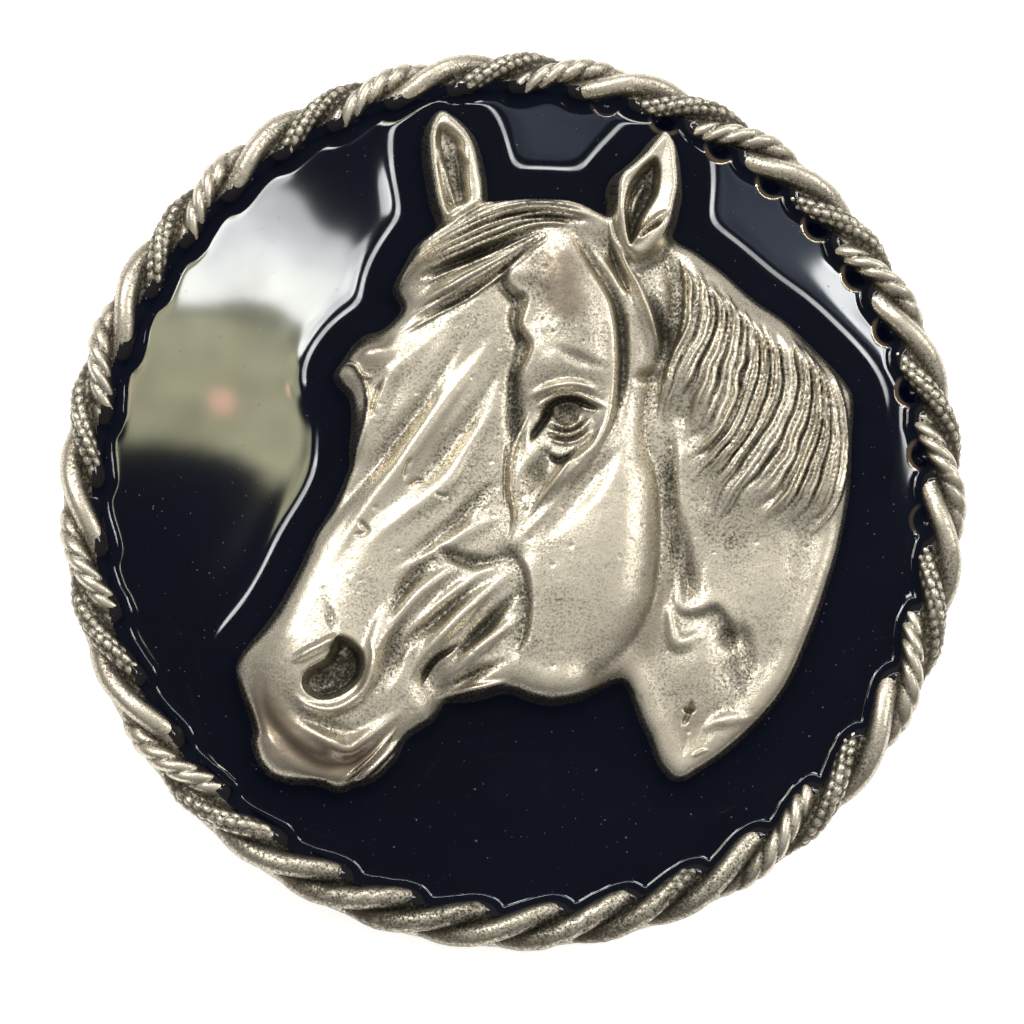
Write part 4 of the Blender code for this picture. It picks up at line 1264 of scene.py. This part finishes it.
# Where each light shape is seen in the flat enamel, in squares of the head's drawing: its
# strength, the width of its soft edge and its outline
WINDOWS = (
    (1, 12, ((130, 280), (150, 220), (210, 176), (290, 186), (322, 226), (366, 240), (376, 280), (352, 318),
             (316, 368), (296, 384), (278, 352), (284, 322), (250, 308), (170, 312))),
    (1, 14, ((766, 300), (824, 250), (905, 276), (950, 400), (915, 474), (850, 456), (808, 384))),
    (0.5, 40, ((-110, 420), (-60, 180), (90, -40), (300, -140), (540, -145), (780, -110), (1000, 20),
               (1130, 220), (1145, 380), (1050, 370), (1000, 250), (890, 110), (720, 0), (540, -35),
               (350, -10), (190, 80), (80, 240), (10, 430))),
    (0.4, 12, ((318, 440), (334, 446), (316, 506), (302, 500))),
    (0.4, 12, ((262, 530), (278, 536), (250, 590), (236, 584))),
)
HAZE = (
    (1, 40, ((70, 400), (90, 320), (180, 300), (250, 306), (322, 318), (340, 400), (342, 450),
             (326, 506), (286, 570), (242, 606), (224, 586), (254, 516), (250, 486), (214, 470),
             (160, 462), (80, 462))),
    (0.4, 30, ((130, 350), (150, 270), (250, 250), (350, 270), (340, 360), (240, 380))),
)
SKY = (
    (1, 60, ((380, 60), (560, 20), (760, 60), (930, 180), (960, 380), (820, 400), (700, 300), (560, 230),
             (440, 220), (360, 260))),
)
SPOT = ((1, 8, ((206, 405), (212, 391), (223, 388), (235, 394), (238, 406), (232, 418), (221, 422),
        (210, 417))),)

# Name, shapes, colour and strength of each layer of light
WINDOW_LAYERS = (
    ("window", WINDOWS, (0.98, 1, 1), 135), ("haze", HAZE, (1, 0.97, 0.62), 52),
    ("sky", SKY, (0.66, 0.78, 1), 7), ("spot", SPOT, (1, 0.3, 0.3), 60))

# The sheet's corners and step on the drawing. The camera sees it mirrored this many times its size
# and this far aside.
WINDOW_SHEET = ((-150, -150), (1150, 1150), 6)
WINDOW_HEIGHT = 0.6
MIRROR_SPREAD = 3.095
MIRROR_SHIFT = (0.033, 0.092)

# Name, azimuth from +X towards +Y and elevation in degrees, size, power and colour of each light
# on the metal
LIGHTS = (
    ("key_light", 125, 50, 0.34, 2.3, (1, 0.99, 0.96)),
    ("right_light", 20, 38, 0.4, 1.2, (1, 0.98, 0.94)),
    ("top_light", 80, 40, 0.25, 1.1, (1, 1, 1)))
LIGHT_DISTANCE = 0.9

# The dome's colour at each height from the horizon, 0, to straight above, 1, and its strength from
# the picture's bottom to its top
DOME_COLOURS = (
    (0.0, (0.2, 0.2, 0.2)), (0.25, (0.35, 0.34475, 0.3325)), (0.55, (0.6, 0.591, 0.57)),
    (0.80, (0.75, 0.73875, 0.7125)), (0.93, (0.76, 0.7486, 0.722)), (1.0, (0.76, 0.75, 0.72)))
DOME_LEAN = (0.25, 0.85, 0)
DOME_STRENGTHS = (0.5, 1.3)

CAMERA_DISTANCE = 0.29
FLOOR_HALF_WIDTH = 1.5
FLOOR_GAP = 0.02 * MM


def light_only(source, name, receivers):
    """Lets a light or window shine on the given objects alone."""
    collection = bpy.data.collections.new(name)
    for obj in receivers:
        collection.objects.link(obj)
    source.light_linking.receiver_collection = collection


def soft_light(name, azimuth, elevation, size, power, colour):
    """A square area light that faces the medallion."""
    light = bpy.data.lights.new(name, "AREA")
    light.size = size
    light.energy = power
    light.color = colour
    obj = bpy.data.objects.new(name, light)
    bpy.context.scene.collection.objects.link(obj)
    a, e = math.radians(azimuth), math.radians(elevation)
    toward = Vector((math.cos(a) * math.cos(e), math.sin(a) * math.cos(e), math.sin(e)))
    obj.location = LIGHT_DISTANCE * toward
    obj.rotation_euler = (-toward).to_track_quat("-Z", "Y").to_euler()
    return obj


def window_glow():
    """Clear material with ragged, clouded glows, one for each painted layer of light."""
    sheet = NodeSheet("windows")
    place = sheet.place()
    ragged = sheet.spread(sheet.noise(place, 420, 4, 0.65), 0.3, 0.7, -0.14, 0.14)
    clouds = sheet.spread(sheet.noise(place, 30, 4, 0.65), 0.36, 0.64, 0.5, 1.15)
    ragged = sheet.product(ragged, clouds)
    surface = sheet.add("BsdfTransparent", {}, {})
    for name, _, colour, strength in WINDOW_LAYERS:
        level = sheet.sum(sheet.mark(name), ragged)
        level = sheet.product(sheet.spread(level, 0.1, 0.7, 0, 1), clouds)
        power = sheet.product(level, strength)
        glow = sheet.add("Emission", {}, {"Color": (*colour, 1), "Strength": power})
        surface = sheet.add("AddShader", {}, {0: surface, 1: glow})
    sheet.tree.nodes.remove(sheet.shader)
    sheet.tree.links.new(surface, sheet.tree.nodes["Material Output"].inputs["Surface"])
    return sheet.material


def make_windows():
    """A sheet of soft-edged lights over the medallion, which only the enamel mirrors."""
    sheet = blank_carving(*WINDOW_SHEET)
    x, y = (MIRROR_SPREAD * flat + shift for flat, shift in zip(on_medallion(sheet), MIRROR_SHIFT))
    rows, columns = x.shape
    points = np.stack([x, y, np.full(x.shape, WINDOW_HEIGHT)], -1).reshape(-1, 3)
    first = (np.arange(rows - 1)[:, None] * columns + np.arange(columns - 1)[None, :]).ravel()
    faces = np.stack([first, first + 1, first + columns + 1, first + columns], -1).tolist()
    obj = add_object("windows", points, faces)
    for name, shapes, _, _ in WINDOW_LAYERS:
        layer = np.zeros(sheet.height.shape)
        for strength, edge, outline in shapes:
            depth = sheet.depth(smooth_course(outline, closed=True), edge)
            layer = np.maximum(layer, strength * slope_over(depth, edge))
        paint(obj, name, layer.ravel())
    obj.data.materials.append(window_glow())
    obj.visible_shadow = False
    obj.visible_camera = False
    obj.visible_diffuse = False
    light_only(obj, "mirrors", [bpy.data.objects["enamel_pool"]])


def make_dome(scene):
    """A dome of soft light, dim at the horizon, brightest overhead and stronger at the picture's top."""
    world = bpy.data.worlds.new("studio")
    world.use_nodes = True
    tree = world.node_tree
    place = tree.nodes.new("ShaderNodeTexCoord")
    parts = tree.nodes.new("ShaderNodeSeparateXYZ")
    ramp = tree.nodes.new("ShaderNodeValToRGB")
    lean = tree.nodes.new("ShaderNodeVectorMath")
    lean.operation = "DOT_PRODUCT"
    lean.inputs[1].default_value = DOME_LEAN
    share = tree.nodes.new("ShaderNodeMapRange")
    share.inputs["From Min"].default_value = -0.7
    share.inputs["From Max"].default_value = 0.7
    share.inputs["To Min"].default_value = DOME_STRENGTHS[0]
    share.inputs["To Max"].default_value = DOME_STRENGTHS[1]
    tree.links.new(place.outputs["Generated"], parts.inputs[0])
    tree.links.new(place.outputs["Generated"], lean.inputs[0])
    tree.links.new(lean.outputs["Value"], share.inputs["Value"])
    tree.links.new(parts.outputs["Z"], ramp.inputs[0])
    elements = ramp.color_ramp.elements
    elements[0].color = (*DOME_COLOURS[0][1], 1)
    elements[1].color = (*DOME_COLOURS[-1][1], 1)
    for position, colour in DOME_COLOURS[1:-1]:
        elements.new(position).color = (*colour, 1)
    background = tree.nodes["Background"]
    tree.links.new(ramp.outputs["Color"], background.inputs["Color"])
    tree.links.new(share.outputs["Result"], background.inputs["Strength"])
    scene.world = world


def make_floor():
    """A pale floor that glows a little, just below the medallion's back."""
    mesh = bpy.data.meshes.new("floor")
    half = FLOOR_HALF_WIDTH
    corners = ((-half, -half, 0), (half, -half, 0), (half, half, 0), (-half, half, 0))
    mesh.from_pydata(corners, [], [(0, 1, 2, 3)])
    obj = bpy.data.objects.new("floor", mesh)
    bpy.context.scene.collection.objects.link(obj)
    obj.location.z = -FLOOR_GAP
    sheet = NodeSheet("pale_floor")
    white = (1, 1, 1, 1)
    sheet.finish(base_color=(0.8, 0.8, 0.8, 1), roughness=0.9, emission_color=white, emission_strength=0.7)
    mesh.materials.append(sheet.material)


def make_camera(look):
    """Camera near straight above, tilted towards the medallion's lower left, with +Y up in the picture."""
    data = bpy.data.cameras.new("camera")
    data.sensor_width = 36
    data.lens = data.sensor_width * CAMERA_DISTANCE / look.picture_width
    data.clip_start, data.clip_end = 0.01, 20
    camera = bpy.data.objects.new("camera", data)
    bpy.context.scene.collection.objects.link(camera)
    tilt, azimuth = look.camera_tilt, look.camera_azimuth
    back = Vector((math.sin(tilt) * math.cos(azimuth), math.sin(tilt) * math.sin(azimuth), math.cos(tilt)))
    right = Vector((0, 1, 0)).cross(back).normalized()
    up = back.cross(right)
    camera.matrix_world = Matrix((right, up, back)).transposed().to_4x4()
    camera.location = Vector(look.camera_target) + CAMERA_DISTANCE * back
    bpy.context.scene.camera = camera


# Settings, operators and the panel

class MedallionLook(bpy.types.PropertyGroup):
    metal: FloatVectorProperty(
        name="Metal", description="Colour of the bare white metal", subtype="COLOR",
        default=(0.58, 0.53, 0.43), min=0, max=1)
    patina: FloatVectorProperty(
        name="Patina", description="Colour of the dark patina in the recesses", subtype="COLOR",
        default=(0.030, 0.027, 0.016), min=0, max=1)
    enamel: FloatVectorProperty(
        name="Enamel", description="Colour of the poured enamel", subtype="COLOR",
        default=(0.0005, 0.0030, 0.0115), min=0, max=1)


class StageLook(bpy.types.PropertyGroup):
    picture_width: FloatProperty(
        name="Picture width", description="Width of what the camera sees at the medallion", unit="LENGTH",
        default=0.0719, min=0.01)
    camera_tilt: FloatProperty(
        name="Camera tilt", description="How far the camera leans from straight above", unit="ROTATION",
        default=math.radians(9))
    camera_azimuth: FloatProperty(
        name="Camera azimuth", description="Which way the camera leans, from +X towards +Y", unit="ROTATION",
        default=math.radians(250))
    camera_target: FloatVectorProperty(
        name="Camera target", description="The place at the picture's middle", subtype="TRANSLATION",
        default=(-0.00025, -0.00135, 0.003))


def dress(obj, node, material):
    """Gives a piece its material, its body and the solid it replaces."""
    obj.data.materials.append(material)
    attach(obj, BODY)
    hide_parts(node)


class MEDALLION_OT_casting(bpy.types.Operator):
    """Plate, rope border and carved head, in antiqued metal"""
    bl_idname = "medallion.casting"
    bl_label = "Casting"

    def execute(self, context):
        metal = antiqued_metal(context.scene.medallion)
        for obj in (make_plate(), make_rope(), *make_head(*carve_head())):
            dress(obj, "casting", metal)
        return {"FINISHED"}


class MEDALLION_OT_enamel(bpy.types.Operator):
    """Poured enamel field round the head"""
    bl_idname = "medallion.enamel"
    bl_label = "Enamel"

    def execute(self, context):
        dress(make_enamel(), "enamel_fill", navy_enamel(context.scene.medallion))
        return {"FINISHED"}


class MEDALLION_OT_stage(bpy.types.Operator):
    """Pale floor, soft lights, windows for the enamel to mirror, and the camera"""
    bl_idname = "medallion.stage"
    bl_label = "Stage"

    def execute(self, context):
        make_floor()
        make_camera(context.scene.medallion_stage)
        context.scene.view_settings.view_transform = "Standard"
        make_dome(context.scene)
        metal = [bpy.data.objects[name] for name in METAL_PIECES + ("floor",)]
        for name, azimuth, elevation, size, power, colour in LIGHTS:
            light = soft_light(name, azimuth, elevation, size, power, colour)
            light_only(light, name + "_receivers", metal)
        make_windows()
        return {"FINISHED"}


class MEDALLION_PT_panel(bpy.types.Panel):
    bl_label = "Medallion"
    bl_idname = "MEDALLION_PT_panel"
    bl_space_type = "VIEW_3D"
    bl_region_type = "UI"
    bl_category = "Medallion"

    def draw(self, context):
        for group in (context.scene.medallion, context.scene.medallion_stage):
            for name in group.__annotations__:
                self.layout.prop(group, name)
        for operator in OPERATORS:
            self.layout.operator(operator.bl_idname)


OPERATORS = (MEDALLION_OT_casting, MEDALLION_OT_enamel, MEDALLION_OT_stage)
CLASSES = (MedallionLook, StageLook, *OPERATORS, MEDALLION_PT_panel)


def register():
    for cls in CLASSES:
        bpy.utils.register_class(cls)
    bpy.types.Scene.medallion = PointerProperty(type=MedallionLook)
    bpy.types.Scene.medallion_stage = PointerProperty(type=StageLook)


def unregister():
    del bpy.types.Scene.medallion_stage
    del bpy.types.Scene.medallion
    for cls in reversed(CLASSES):
        bpy.utils.unregister_class(cls)


def main():
    register()
    bpy.ops.medallion.casting()
    bpy.ops.medallion.enamel()
    bpy.ops.medallion.stage()


if __name__ == "__main__":
    main()
